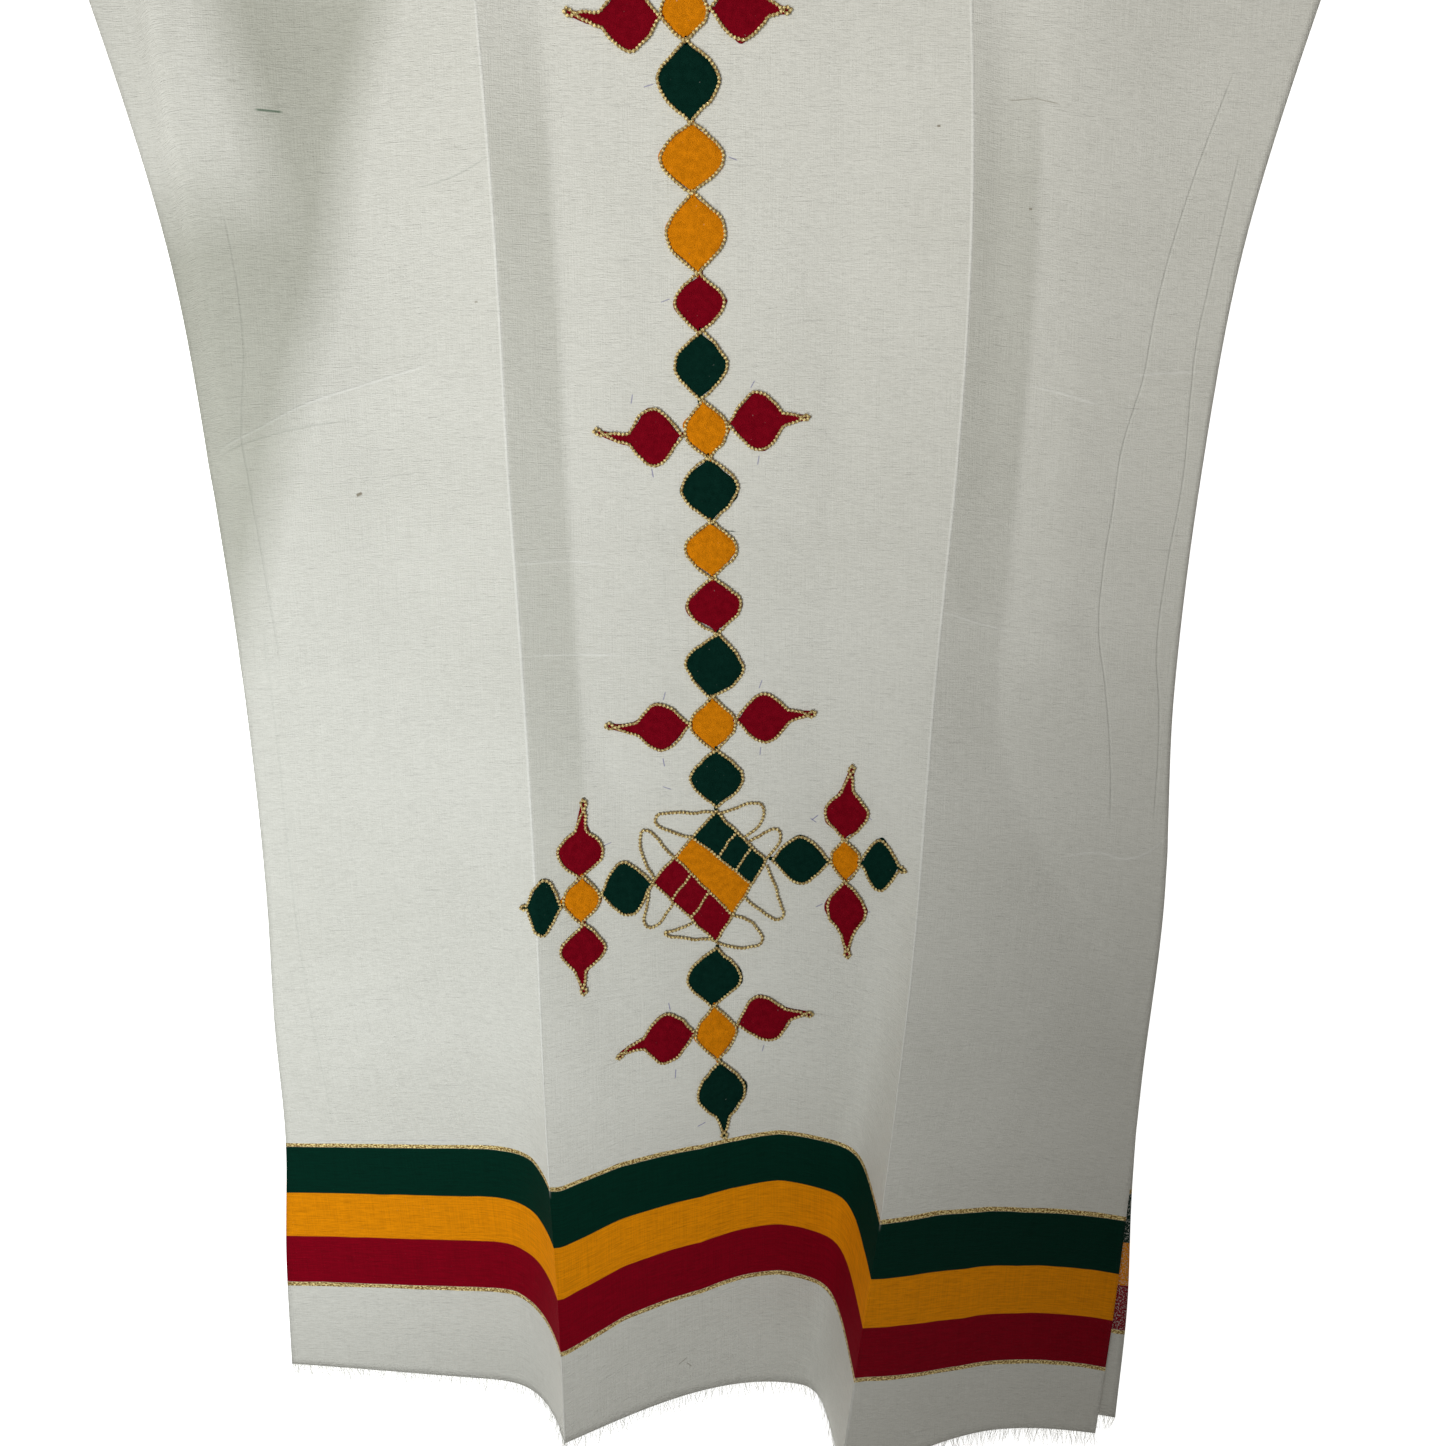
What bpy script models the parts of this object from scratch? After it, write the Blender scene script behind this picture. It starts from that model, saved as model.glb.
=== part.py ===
"""A habesha kemis, a long dress of handwoven white cotton, laid out flat on its back.

The front has two pressed creases that stand up as ridges towards the hem. Felt pieces are sewn down its middle
as a column of lozenges with crosses, and both hems end in a raw, frayed edge. X runs across the dress, Y from the
hem up to the neck, and Z up from the surface that the dress lies on.
"""
import math

import bpy
import bmesh
import numpy as np
from mathutils import Vector
from mathutils.bvhtree import BVHTree

# Cloth and felt
WALL = 0.0015  # thickness of every cloth wall
GAP = 0.0003  # space left where two pieces meet
FELT = 0.0011  # thickness of a felt piece
FELT_LIFT = 0.0006  # space between the felt and the cloth under it
FRONT_TOP = 2 * WALL + GAP  # height of the front's outer face where it lies flat on the back

# Cut of the dress
LENGTH = 1.37  # highest point of the shoulder above the hem
SHOULDER_FALL = 0.055  # how much lower the end of the shoulder is
NECK_HALF = 0.085
FRONT_NECK_DEPTH = 0.10
BACK_NECK_DEPTH = 0.03
UNDERARM_UP = 1.06
CUFF_ACROSS = 0.60  # distance of the sleeve's end from the middle of the dress
CUFF_LOW = 1.045
CUFF_HIGH = 1.225

SLEEVE_SHARES = (0.0, 0.33, 0.66, 1.0)  # where the sleeve has sections, from the armhole to the cuff

# Frayed hem
STRIP_GAP = 0.0006
STRIP = 0.003
STRAND = 0.011
STRAND_SHARE = 0.26  # part of the spacing that a strand's root takes
STRANDS_IN_SPAN = (20, 27, 18)
TIP_SHARE = 0.35

# The dress is placed so that its bounding box has its middle at X 0 and Y 0
REACH_BELOW = 0.0689  # how far the frayed edge reaches below the middle of the hem
HEM_Y = (REACH_BELOW - LENGTH) / 2

# Lines that run up the dress: their distance from its middle, at each height above the hem
LINE_UP = (0.0, 0.10, 0.20, 0.30, 0.40, 0.55, 0.70, 0.85, 1.00, 1.06, 1.20, 1.37)
LINES = {
    "left_side": (-0.331, -0.328, -0.321, -0.322, -0.320, -0.323, -0.333, -0.349, -0.386, -0.405, -0.391, -0.372),
    "left_swell": (-0.290, -0.290, -0.290, -0.290, -0.290, -0.298, -0.308, -0.318, -0.334, -0.336, -0.336, -0.336),
    "left_crease": (-0.108, -0.110, -0.115, -0.120, -0.123, -0.127, -0.132, -0.135, -0.142, -0.144, -0.146, -0.148),
    "trough": (0.062, 0.062, 0.055, 0.045, 0.030, 0.020, 0.020, 0.020, 0.020, 0.020, 0.020, 0.020),
    "right_crease": (0.096, 0.108, 0.122, 0.136, 0.147, 0.155, 0.165, 0.169, 0.163, 0.161, 0.158, 0.155),
    "right_swell": (0.220, 0.220, 0.220, 0.220, 0.220, 0.220, 0.220, 0.220, 0.220, 0.220, 0.220, 0.220),
    "right_side": (0.305, 0.312, 0.317, 0.322, 0.328, 0.324, 0.331, 0.348, 0.386, 0.405, 0.391, 0.372),
    "back_right_side": (0.321, 0.324, 0.321, 0.322, 0.328, 0.324, 0.331, 0.348, 0.386, 0.405, 0.391, 0.372),
}

# Height of each ridge of the front above its flat parts, at the same heights up the dress
RIDGE_HEIGHT = {
    "left_swell": (0.0, 0.0, 0.0, 0.0, 0.0, 0.002, 0.005, 0.009, 0.010, 0.008, 0.002, 0.0),
    "left_crease": (0.052, 0.049, 0.042, 0.026, 0.013, 0.008, 0.006, 0.0055, 0.005, 0.004, 0.002, 0.0),
    "right_crease": (0.062, 0.061, 0.054, 0.034, 0.017, 0.009, 0.007, 0.006, 0.005, 0.004, 0.002, 0.0),
    "right_swell": (0.0, 0.0, 0.0, 0.0, 0.0, 0.001, 0.003, 0.005, 0.006, 0.005, 0.002, 0.0),
}

# A sharp ridge falls off to each side over a width, more steeply near its crest where its power is higher
FLANKS = {  # at the hem: left width, left power, right width, right power, then the same four higher up
    "left_crease": (0.080, 3.3, 0.185, 2.0, 0.090, 1.6, 0.042, 1.5),
    "right_crease": (0.045, 4.0, 0.220, 1.5, 0.060, 1.6, 0.055, 1.5),
}
SWELL_FLANKS = {"left_swell": (0.028, 0.100), "right_swell": (0.040, 0.100)}  # left width, right width
HEM_FORM_UP = (0.20, 0.55)  # the ridges have their hem form up to the first height and lose it by the second

# Lines that the weft threads are pinned to, how far they drop there at the hem and higher up, and where the hem is cut
DROP_LINES = ("left_side", "left_crease", "trough", "right_crease", "right_swell", "right_side")
DROP_AT_HEM = (0.0, -0.003, 0.013, -0.019, -0.030, -0.057)
DROP_ABOVE = (-0.016, -0.002, 0.0, 0.0, -0.005, -0.013)
HEM_CUT = (0.006, -0.010, -0.024, -0.012, -0.006, 0.0)
DROP_UP = (0.12, 0.55)  # the hem's drop holds up to the first height and is gone by the second
DROP_ENDS_UP = (0.90, 1.20)
BACK_HEM_ACROSS = (-0.331, -0.11, 0.06, 0.12, 0.22, 0.321)
BACK_HEM_DROP = (0.010, 0.0, 0.0, -0.010, -0.025, -0.045)
BACK_DROP_UP = (0.15, 0.45)

# Grid of the front: shares of the spans between its side, creases and side, and heights above the hem
SPAN_LINES = ("left_side", "left_crease", "right_crease", "right_side")
COLUMNS = (
    (0.0, 0.35, 0.60, 0.76, 0.86, 0.93, 0.97),
    (0.0, 0.03, 0.08, 0.14, 0.185, 0.215, 0.26, 0.33, 0.40, 0.465, 0.53, 0.60, 0.67, 0.715, 0.744, 0.776, 0.80,
     0.83, 0.86, 0.91, 0.945, 0.975),
    (0.0, 0.05, 0.13, 0.26, 0.44, 0.66, 0.83, 1.0),
)
FRONT_ROWS = (0.0, 0.035, 0.07, 0.10, 0.13, 0.16, 0.19, 0.22, 0.25, 0.28, 0.31, 0.335, 0.36, 0.385, 0.41, 0.435,
              0.47, 0.52, 0.58, 0.66, 0.76, 0.85, 0.93, 1.0, UNDERARM_UP, 1.13, 1.20, 1.25, 1.285, 1.315, 1.34,
              1.355, LENGTH)
BACK_ROWS = (0.0, 0.07, 0.15, 0.25, 0.35, 0.45, 0.58, 0.76, 0.93, 1.0, UNDERARM_UP, 1.13, 1.20, 1.25, 1.285,
             1.315, 1.34, 1.355, LENGTH)
BACK_COLUMNS = (-1.0, -0.75, -0.5, -0.36, -0.229, -0.2, -0.15, -0.08, 0.0, 0.08, 0.15, 0.2, 0.229, 0.36, 0.5, 0.75,
                1.0)
LOW_ROW = 0.07  # rows below this follow the cut of the hem
HIGH_ROW = 1.20  # rows above this follow the neck and the shoulders
SAMPLES = 700
NUDGE = 0.002  # step that a slope is measured over

# Felt pieces that are lozenges: where each one's middle is on the front (run across the cloth and height up it), half
# its length from tip to tip, half its width, the way its outer tip points in degrees from the dress's right, the
# length of the narrow tail on that tip, and the way that the tail points
LOZENGES = (
    # name, colour, run, up, half length, half width, turn, tail, tail turn
    ("cross_0_middle", "yellow", -0.013, 0.973, 0.0162, 0.0153, -90, 0.0, 0),
    ("cross_0_left", "red", -0.048, 0.969, 0.0190, 0.0190, -178, 0.019, 165),
    ("cross_0_right", "red", 0.023, 0.974, 0.0184, 0.0185, 1, 0.010, -10),
    ("column_green_1", "green", -0.011, 0.933, 0.0226, 0.0200, -87, 0.0, 0),
    ("column_yellow_1", "yellow", -0.009, 0.888, 0.0205, 0.0208, -89, 0.0, 0),
    ("column_yellow_2", "yellow", -0.007, 0.843, 0.0235, 0.0200, -87, 0.0, 0),
    ("column_red_1", "red", -0.005, 0.800, 0.0174, 0.0170, -91, 0.0, 0),
    ("column_green_2", "green", -0.004, 0.761, 0.0206, 0.0180, -91, 0.0, 0),
    ("cross_1_middle", "yellow", -0.001, 0.720, 0.0175, 0.0153, -85, 0.0, 0),
    ("cross_1_left", "red", -0.036, 0.715, 0.0177, 0.0190, -176, 0.019, 165),
    ("cross_1_right", "red", 0.034, 0.725, 0.0187, 0.0194, 3, 0.013, 5),
    ("column_green_3", "green", 0.001, 0.681, 0.0205, 0.0195, -88, 0.0, 0),
    ("column_yellow_3", "yellow", 0.002, 0.641, 0.0178, 0.0178, -90, 0.0, 0),
    ("column_red_2", "red", 0.004, 0.603, 0.0182, 0.0190, -86, 0.0, 0),
    ("column_green_4", "green", 0.004, 0.561, 0.0220, 0.0205, -97, 0.0, 0),
    ("cross_2_middle", "yellow", 0.003, 0.520, 0.0182, 0.0162, -88, 0.0, 0),
    ("cross_2_left", "red", -0.034, 0.518, 0.0192, 0.0173, -176, 0.017, 172),
    ("cross_2_right", "red", 0.039, 0.524, 0.0189, 0.0180, 4, 0.015, 6),
    ("column_green_5", "green", 0.005, 0.480, 0.0206, 0.0188, -90, 0.0, 0),
    ("column_green_6", "green", 0.003, 0.324, 0.0226, 0.0205, -93, 0.0, 0),
    ("cross_3_middle", "yellow", 0.004, 0.279, 0.0212, 0.0155, -86, 0.0, 0),
    ("cross_3_left", "red", -0.032, 0.280, 0.0195, 0.0200, -178, 0.017, -162),
    ("cross_3_right", "red", 0.040, 0.290, 0.0200, 0.0195, 16, 0.014, 10),
    ("column_green_7", "green", 0.008, 0.230, 0.0243, 0.0184, -87, 0.013, -87),
    ("arm_right_green", "green", 0.065, 0.419, 0.0192, 0.0183, 1, 0.0, 0),
    ("arm_right_middle", "yellow", 0.097, 0.421, 0.0147, 0.0113, -86, 0.0, 0),
    ("arm_right_up", "red", 0.097, 0.455, 0.0181, 0.0162, 88, 0.015, 77),
    ("arm_right_down", "red", 0.098, 0.384, 0.0205, 0.0145, -88, 0.014, -85),
    ("arm_right_end", "green", 0.122, 0.420, 0.0129, 0.0190, 1, 0.004, -10),
    ("arm_left_green", "green", -0.060, 0.399, 0.0172, 0.0208, -172, 0.0, 0),
    ("arm_left_middle", "yellow", -0.092, 0.394, 0.0160, 0.0136, -91, 0.0, 0),
    ("arm_left_up", "red", -0.092, 0.429, 0.0178, 0.0170, 87, 0.018, 84),
    ("arm_left_down", "red", -0.092, 0.358, 0.0170, 0.0163, -94, 0.014, -84),
    ("arm_left_end", "green", -0.119, 0.392, 0.0113, 0.0206, 176, 0.004, -170),
)
SIDE_POINTS = 9
SIDE_POWER = 1.15  # above 1, the sides of a lozenge draw in to its tips
TAIL_HALF = 0.0016

# The big square: its corners on the cloth, and where its three bands part along its two slanting sides
SQUARE = {"top": (0.0047, 0.4552), "right": (0.0404, 0.4178), "bottom": (0.0043, 0.3519), "left": (-0.0416, 0.4026)}
BANDS = (
    # name, colour, start and end on the side from top to left, start and end on the side from right to bottom
    ("square_green", "green", 0.0, 0.365, 0.0, 0.275),
    ("square_yellow", "yellow", 0.375, 0.645, 0.285, 0.655),
    ("square_red", "red", 0.655, 1.0, 0.665, 1.0),
)
FELT_COLOURS = {"green": (0.001, 0.024, 0.015), "yellow": (0.80, 0.32, 0.004), "red": (0.27, 0.0, 0.009)}
COTTON_COLOUR = (0.72, 0.70, 0.64)
COTTON_ROUGHNESS = 0.9
FELT_ROUGHNESS = 0.95


def smooth(at, knots, values):
    """A soft curve through the values at the knots, level past both ends."""
    knots = np.asarray(knots, float)
    values = np.asarray(values, float)
    at = np.clip(at, knots[0], knots[-1])
    slope = np.gradient(values, knots)
    i = np.clip(np.searchsorted(knots, at) - 1, 0, len(knots) - 2)
    span = knots[i + 1] - knots[i]
    f = (at - knots[i]) / span
    ends = values[i] * (1 + 2 * f) * (1 - f) ** 2 + values[i + 1] * f * f * (3 - 2 * f)
    return ends + span * f * (1 - f) * (slope[i] * (1 - f) - slope[i + 1] * f)


def ease(at, low, high):
    """0 up to low, 1 from high on, and a soft step between."""
    f = np.clip((at - low) / (high - low), 0.0, 1.0)
    return f * f * (3 - 2 * f)


def line(name, up):
    return float(smooth(up, LINE_UP, LINES[name]))


def front_rise(across, up):
    """Height of the front above its flat parts, along one weft thread."""
    rise = np.zeros_like(across)
    hem_form = 1.0 - float(ease(up, *HEM_FORM_UP))
    for name, flanks in FLANKS.items():
        low = np.array(flanks[:4])
        high = np.array(flanks[4:])
        left_width, left_power, right_width, right_power = high + (low - high) * hem_form
        d = across - line(name, up)
        width = np.where(d < 0, left_width, right_width)
        power = np.where(d < 0, left_power, right_power)
        rise += float(smooth(up, LINE_UP, RIDGE_HEIGHT[name])) * np.clip(1 - np.abs(d) / width, 0, 1) ** power
    for name, (left_width, right_width) in SWELL_FLANKS.items():
        d = across - line(name, up)
        f = np.clip(np.abs(d) / np.where(d < 0, left_width, right_width), 0, 1)
        rise += float(smooth(up, LINE_UP, RIDGE_HEIGHT[name])) * (1 + np.cos(math.pi * f)) / 2
    return rise


ROWS = {}


def front_row(up):
    """One weft thread of the front: the run along it from the dress's middle, with its place at each run."""
    key = round(up, 7)
    if key not in ROWS:
        lines = {name: line(name, up) for name in LINES}
        even = np.linspace(lines["left_side"], lines["right_side"], SAMPLES)
        across = np.sort(np.append(even, (lines["left_crease"], lines["right_crease"])))
        rise = front_rise(across, up)
        run = np.append(0.0, np.cumsum(np.hypot(np.diff(across), np.diff(rise))))
        run -= np.interp(0.0, across, run)
        pins = np.interp([lines[name] for name in DROP_LINES], across, run)
        at_hem = 1.0 - float(ease(up, *DROP_UP))
        above = (1.0 - at_hem) * (1.0 - float(ease(up, *DROP_ENDS_UP)))
        drop = smooth(run, pins, DROP_AT_HEM) * at_hem + smooth(run, pins, DROP_ABOVE) * above
        ROWS[key] = {"run": run, "across": across, "rise": rise, "drop": drop, "pins": pins}
        ROWS[key]["spans"] = np.interp([lines[name] for name in SPAN_LINES], across, run)
    return ROWS[key]


def on_front(run, up):
    """A point of the front's outer face, at a run across the cloth and a height up it."""
    row = front_row(up)
    x, rise, drop = (float(np.interp(run, row["run"], row[what])) for what in ("across", "rise", "drop"))
    return Vector((x, HEM_Y + up + drop, FRONT_TOP + rise))


def square_to_front(run, up):
    """The direction that stands square to the front's outer face."""
    across = on_front(run + NUDGE, up) - on_front(run - NUDGE, up)
    along = on_front(run, up + NUDGE) - on_front(run, up - NUDGE)
    return across.cross(along).normalized()


def above_faces(faces, run, up, lift):
    """A point over the front's flat faces, which lie a little above the true curve where the cloth is hollow."""
    point = on_front(run, up)
    hit = faces.ray_cast((point.x, point.y, 1.0), (0.0, 0.0, -1.0))[0]
    point.z = max(point.z, hit.z)
    return point + square_to_front(run, up) * lift


def hem_cut(run):
    return float(smooth(run, front_row(0.0)["pins"], HEM_CUT))


def top_edge(x, neck_depth):
    """Height of the neck's or shoulder's edge at a distance from the middle."""
    shoulder_end = LINES["right_side"][-1]
    if abs(x) < NECK_HALF:
        return LENGTH - neck_depth * math.sqrt(1 - (x / NECK_HALF) ** 2)
    return LENGTH - SHOULDER_FALL * (abs(x) - NECK_HALF) / (shoulder_end - NECK_HALF)


def stretched(row, cut, top):
    """Height up the cloth of a grid row, where the first rows end at the hem's cut and the last at the top edge."""
    if row < LOW_ROW:
        return cut + (LOW_ROW - cut) * row / LOW_ROW
    if row > HIGH_ROW:
        return HIGH_ROW + (top - HIGH_ROW) * (row - HIGH_ROW) / (LENGTH - HIGH_ROW)
    return row


def column_run(span, share, up):
    ends = front_row(up)["spans"]
    return ends[span] + (ends[span + 1] - ends[span]) * share


def top_of_column(x_share, neck_depth):
    return top_edge(x_share * LINES["right_side"][-1], neck_depth)


def front_grid_point(column, row):
    span, share = column
    cut = hem_cut(column_run(span, share, 0.0))
    high = on_front(column_run(span, share, HIGH_ROW), HIGH_ROW).x / line("right_side", HIGH_ROW)
    up = stretched(row, cut, top_of_column(high, FRONT_NECK_DEPTH))
    return on_front(column_run(span, share, up), up)


def back_point(share, up):
    """A point of the back's upper face, from share -1 at its left side to 1 at its right."""
    left = line("left_side", up)
    right = line("back_right_side", up)
    x = left + (right - left) * (share + 1) / 2
    drop = float(smooth(x, BACK_HEM_ACROSS, BACK_HEM_DROP)) * (1 - float(ease(up, *BACK_DROP_UP)))
    return Vector((x, HEM_Y + up + drop, WALL))


def back_grid_point(share, row):
    return back_point(share, stretched(row, 0.0, top_of_column(share, BACK_NECK_DEPTH)))


def colour_material(name, colour, roughness):
    material = bpy.data.materials.new(name)
    material.use_nodes = True
    shader = material.node_tree.nodes["Principled BSDF"]
    shader.inputs["Base Color"].default_value = (*colour, 1.0)
    shader.inputs["Roughness"].default_value = roughness
    shader.inputs["Metallic"].default_value = 0.0
    return material


def add_piece(name, bm, material, collection):
    mesh = bpy.data.meshes.new(name)
    bm.to_mesh(mesh)
    bm.free()
    mesh.materials.append(material)
    piece = bpy.data.objects.new(name, mesh)
    collection.objects.link(piece)
    return piece


def give_wall(piece, thickness, offset, even=False):
    wall = piece.modifiers.new("wall", "SOLIDIFY")
    wall.thickness = thickness
    wall.offset = offset
    wall.use_even_offset = even


def add_panel(name, columns, rows, place, material, collection):
    """A cloth panel: a grid whose points are put where place says, with the wall's thickness under it.

    Gives its upper faces, for the pieces that are laid on them.
    """
    bm = bmesh.new()
    bmesh.ops.create_grid(bm, x_segments=len(columns) - 1, y_segments=len(rows) - 1, size=1.0)
    for vertex in bm.verts:
        i = round((vertex.co.x + 1) / 2 * (len(columns) - 1))
        j = round((vertex.co.y + 1) / 2 * (len(rows) - 1))
        vertex.co = place(columns[i], rows[j])
    bmesh.ops.triangulate(bm, faces=bm.faces)
    upper_faces = BVHTree.FromBMesh(bm)
    give_wall(add_piece(name, bm, material, collection), WALL, -1.0)
    return upper_faces


def skin(bm, loops):
    """Quads between loops of points, as a list of the faces for each step from loop to loop."""
    steps = []
    for near, far in zip(loops, loops[1:]):
        turns = [(k, (k + 1) % len(near)) for k in range(len(near))]
        steps.append([bm.faces.new((near[a], near[b], far[b], far[a])) for a, b in turns])
    return steps


def sleeve_loop(ups, share, side, low_z, high_z):
    """A closed loop round a flattened sleeve, at a share of the way from the armhole to the cuff."""
    shoulder = top_of_column(1.0, BACK_NECK_DEPTH)
    layer = []
    for up in ups:
        f = (up - UNDERARM_UP) / (shoulder - UNDERARM_UP)
        x = line("right_side", up) + GAP
        cuff_up = CUFF_LOW + (CUFF_HIGH - CUFF_LOW) * f
        layer.append((side * (x + (CUFF_ACROSS - x) * share), HEM_Y + up + (cuff_up - up) * share))
    return [(x, y, low_z) for x, y in layer] + [(x, y, high_z) for x, y in reversed(layer)]


def add_sleeve(name, side, material, collection):
    """A flattened sleeve, open at the armhole and the cuff, whose two layers lie on each other."""
    shoulder = top_of_column(1.0, BACK_NECK_DEPTH)
    ups = [stretched(row, 0.0, shoulder) for row in FRONT_ROWS if row >= UNDERARM_UP]
    inner_ups = [float(np.interp(up, (ups[0], ups[-1]), (ups[0] + WALL, ups[-1] - WALL))) for up in ups]
    bm = bmesh.new()
    outer = []
    inner = []
    for share in SLEEVE_SHARES:
        outer.append([bm.verts.new(point) for point in sleeve_loop(ups, share, side, 0.0, FRONT_TOP)])
        inner.append([bm.verts.new(point) for point in sleeve_loop(inner_ups, share, side, WALL, WALL + GAP)])
    skin(bm, outer)
    skin(bm, inner)
    for end in (0, -1):
        skin(bm, (outer[end], inner[end]))
    bmesh.ops.recalc_face_normals(bm, faces=bm.faces)
    add_piece(name, bm, material, collection)


def add_fringe(name, edge_point, shortest_z, material, collection):
    """A frayed edge: a narrow strip along the hem, with a row of tapered strands that stand apart."""
    rings = []
    strand_steps = []
    for span, count in enumerate(STRANDS_IN_SPAN):
        for k in range(count):
            rings.append(edge_point(span, k / count))
            strand_steps.append(len(rings) - 1)
            rings.append(edge_point(span, (k + STRAND_SHARE) / count))
    rings.append(edge_point(len(STRANDS_IN_SPAN) - 1, 1.0))
    bm = bmesh.new()
    loops = [[bm.verts.new(point) for point in ring] for ring in rings]
    steps = skin(bm, loops)
    bm.faces.new(loops[0])
    bm.faces.new(loops[-1])
    bmesh.ops.recalc_face_normals(bm, faces=bm.faces)
    roots = [steps[i][1] for i in strand_steps]  # the side of the strip that faces away from the cloth
    tips = bmesh.ops.extrude_discrete_faces(bm, faces=roots)["faces"]
    for k, tip in enumerate(tips):
        middle = tip.calc_center_median()
        length = STRAND * (0.80 + 0.20 * math.cos(2.4 * k))
        lean = 0.003 * math.sin(1.7 * k)
        if k in (0, len(tips) - 1):
            length, lean = STRAND, 0.0
        end = Vector((middle.x + lean, middle.y - length, max(middle.z, shortest_z)))
        for vertex in tip.verts:
            vertex.co = end + (vertex.co - middle) * TIP_SHARE
    return add_piece(name, bm, material, collection)


def front_hem():
    """The front's grid points along its hem, with the run of each."""
    columns = [(span, share) for span, shares in enumerate(COLUMNS) for share in shares]
    runs = [column_run(span, share, 0.0) for span, share in columns]
    return runs, [front_grid_point(column, 0.0) for column in columns]


HEM_RUNS, HEM_POINTS = front_hem()


def front_edge_ring(span, share):
    """Section of the strip on the front's hem, which follows the grid's own edge."""
    run = column_run(span, share, 0.0)
    edge = Vector([float(np.interp(run, HEM_RUNS, [point[k] for point in HEM_POINTS])) for k in range(3)])
    near = edge - Vector((0.0, STRIP_GAP, 0.0))
    far = near - Vector((0.0, STRIP, 0.0))
    down = square_to_front(run, hem_cut(run)) * WALL
    return [near, far, far - down, near - down]


def back_edge_ring(span, share):
    left, right = np.interp((span, span + 1), range(len(SPAN_LINES)), (-1.0, -0.33, 0.33, 1.0))
    edge = back_point(left + (right - left) * share, 0.0)
    near = edge.y - STRIP_GAP
    return [(edge.x, y, z) for y, z in ((near, WALL), (near - STRIP, WALL), (near - STRIP, 0.0), (near, 0.0))]


def lozenge_outline(half_long, half_wide, tail, tail_bend):
    """A lozenge's outline from its inner tip round to it again, as distances along it and across it."""
    side = []
    for k in range(1, SIDE_POINTS):
        f = 2 * k / SIDE_POINTS - 1
        width = half_wide * math.cos(math.pi * f / 2) ** SIDE_POWER
        side.append((half_long * f, width))
    if not tail:
        return [(-half_long, 0.0)] + [(a, -w) for a, w in side] + [(half_long, 0.0)] + [
            (a, w) for a, w in reversed(side)]
    tail_runs = (0.0, 0.35, 0.75)
    low = [(a, -w) for a, w in side]
    high = [(a, w) for a, w in side]
    for share in tail_runs:
        away = tail * share
        low.append((half_long + away, math.tan(tail_bend) * away - TAIL_HALF))
        high.append((half_long + away, math.tan(tail_bend) * away + TAIL_HALF))
    end = (half_long + tail, math.tan(tail_bend) * tail)
    return [(-half_long, 0.0)] + low + [end] + list(reversed(high))


def on_cloth(outline, run, up, turn):
    """The outline's points turned and put in their place on the cloth, as runs and heights up it."""
    cos, sin = math.cos(turn), math.sin(turn)
    return [(run + a * cos - w * sin, up + a * sin + w * cos) for a, w in outline]


def add_felt(name, outline, front_faces, material, collection):
    """A felt piece cut flat, bent where a crease of the front runs under it, and laid on the front."""
    bm = bmesh.new()
    bm.faces.new([bm.verts.new((run, up, 0.0)) for run, up in outline])
    ups = [up for _, up in outline]
    for row in FRONT_ROWS:
        geom = bm.verts[:] + bm.edges[:] + bm.faces[:]
        bmesh.ops.bisect_plane(bm, geom=geom, plane_co=(0.0, row, 0.0), plane_no=(0.0, 1.0, 0.0))
    for crease in (1, 2):
        low = Vector((front_row(min(ups))["spans"][crease], min(ups), 0.0))
        high = Vector((front_row(max(ups))["spans"][crease], max(ups), 0.0))
        along = high - low
        geom = bm.verts[:] + bm.edges[:] + bm.faces[:]
        bmesh.ops.bisect_plane(bm, geom=geom, plane_co=low, plane_no=(along.y, -along.x, 0.0))
    bmesh.ops.triangulate(bm, faces=bm.faces)
    for vertex in bm.verts:
        vertex.co = above_faces(front_faces, vertex.co.x, vertex.co.y, FELT_LIFT)
    piece = add_piece(name, bm, material, collection)
    give_wall(piece, FELT, 1.0)


def add_lozenges(front_faces, materials, collection):
    for name, colour, run, up, half_long, half_wide, turn, tail, tail_turn in LOZENGES:
        bend = math.radians(tail_turn - turn)
        outline = lozenge_outline(half_long, half_wide, tail, bend)
        placed = on_cloth(outline, run, up, math.radians(turn))
        add_felt(name, placed, front_faces, materials[colour], collection)


def add_square(front_faces, materials, collection):
    top, right, bottom, left = (Vector(SQUARE[corner]) for corner in ("top", "right", "bottom", "left"))
    for name, colour, near_start, near_end, far_start, far_end in BANDS:
        corners = (top.lerp(left, near_start), top.lerp(left, near_end), right.lerp(bottom, far_end),
                   right.lerp(bottom, far_start))
        add_felt(name, [tuple(corner) for corner in corners], front_faces, materials[colour], collection)


def clear_scene():
    for thing in list(bpy.data.objects):
        bpy.data.objects.remove(thing, do_unlink=True)


def main():
    clear_scene()
    dress = bpy.data.collections.new("habesha_kemis_dress")
    bpy.context.scene.collection.children.link(dress)
    cotton = colour_material("cotton", COTTON_COLOUR, COTTON_ROUGHNESS)
    felts = {name: colour_material("felt_" + name, rgb, FELT_ROUGHNESS) for name, rgb in FELT_COLOURS.items()}
    columns = [(span, share) for span, shares in enumerate(COLUMNS) for share in shares]
    front_faces = add_panel("front_panel", columns, FRONT_ROWS, front_grid_point, cotton, dress)
    add_panel("back_panel", BACK_COLUMNS, BACK_ROWS, back_grid_point, cotton, dress)
    add_sleeve("sleeve_left", -1, cotton, dress)
    add_sleeve("sleeve_right", 1, cotton, dress)
    add_fringe("fringe_front", front_edge_ring, FRONT_TOP - WALL, cotton, dress)
    add_fringe("fringe_back", back_edge_ring, WALL / 2, cotton, dress)
    add_lozenges(front_faces, felts, dress)
    add_square(front_faces, felts, dress)


main()
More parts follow.
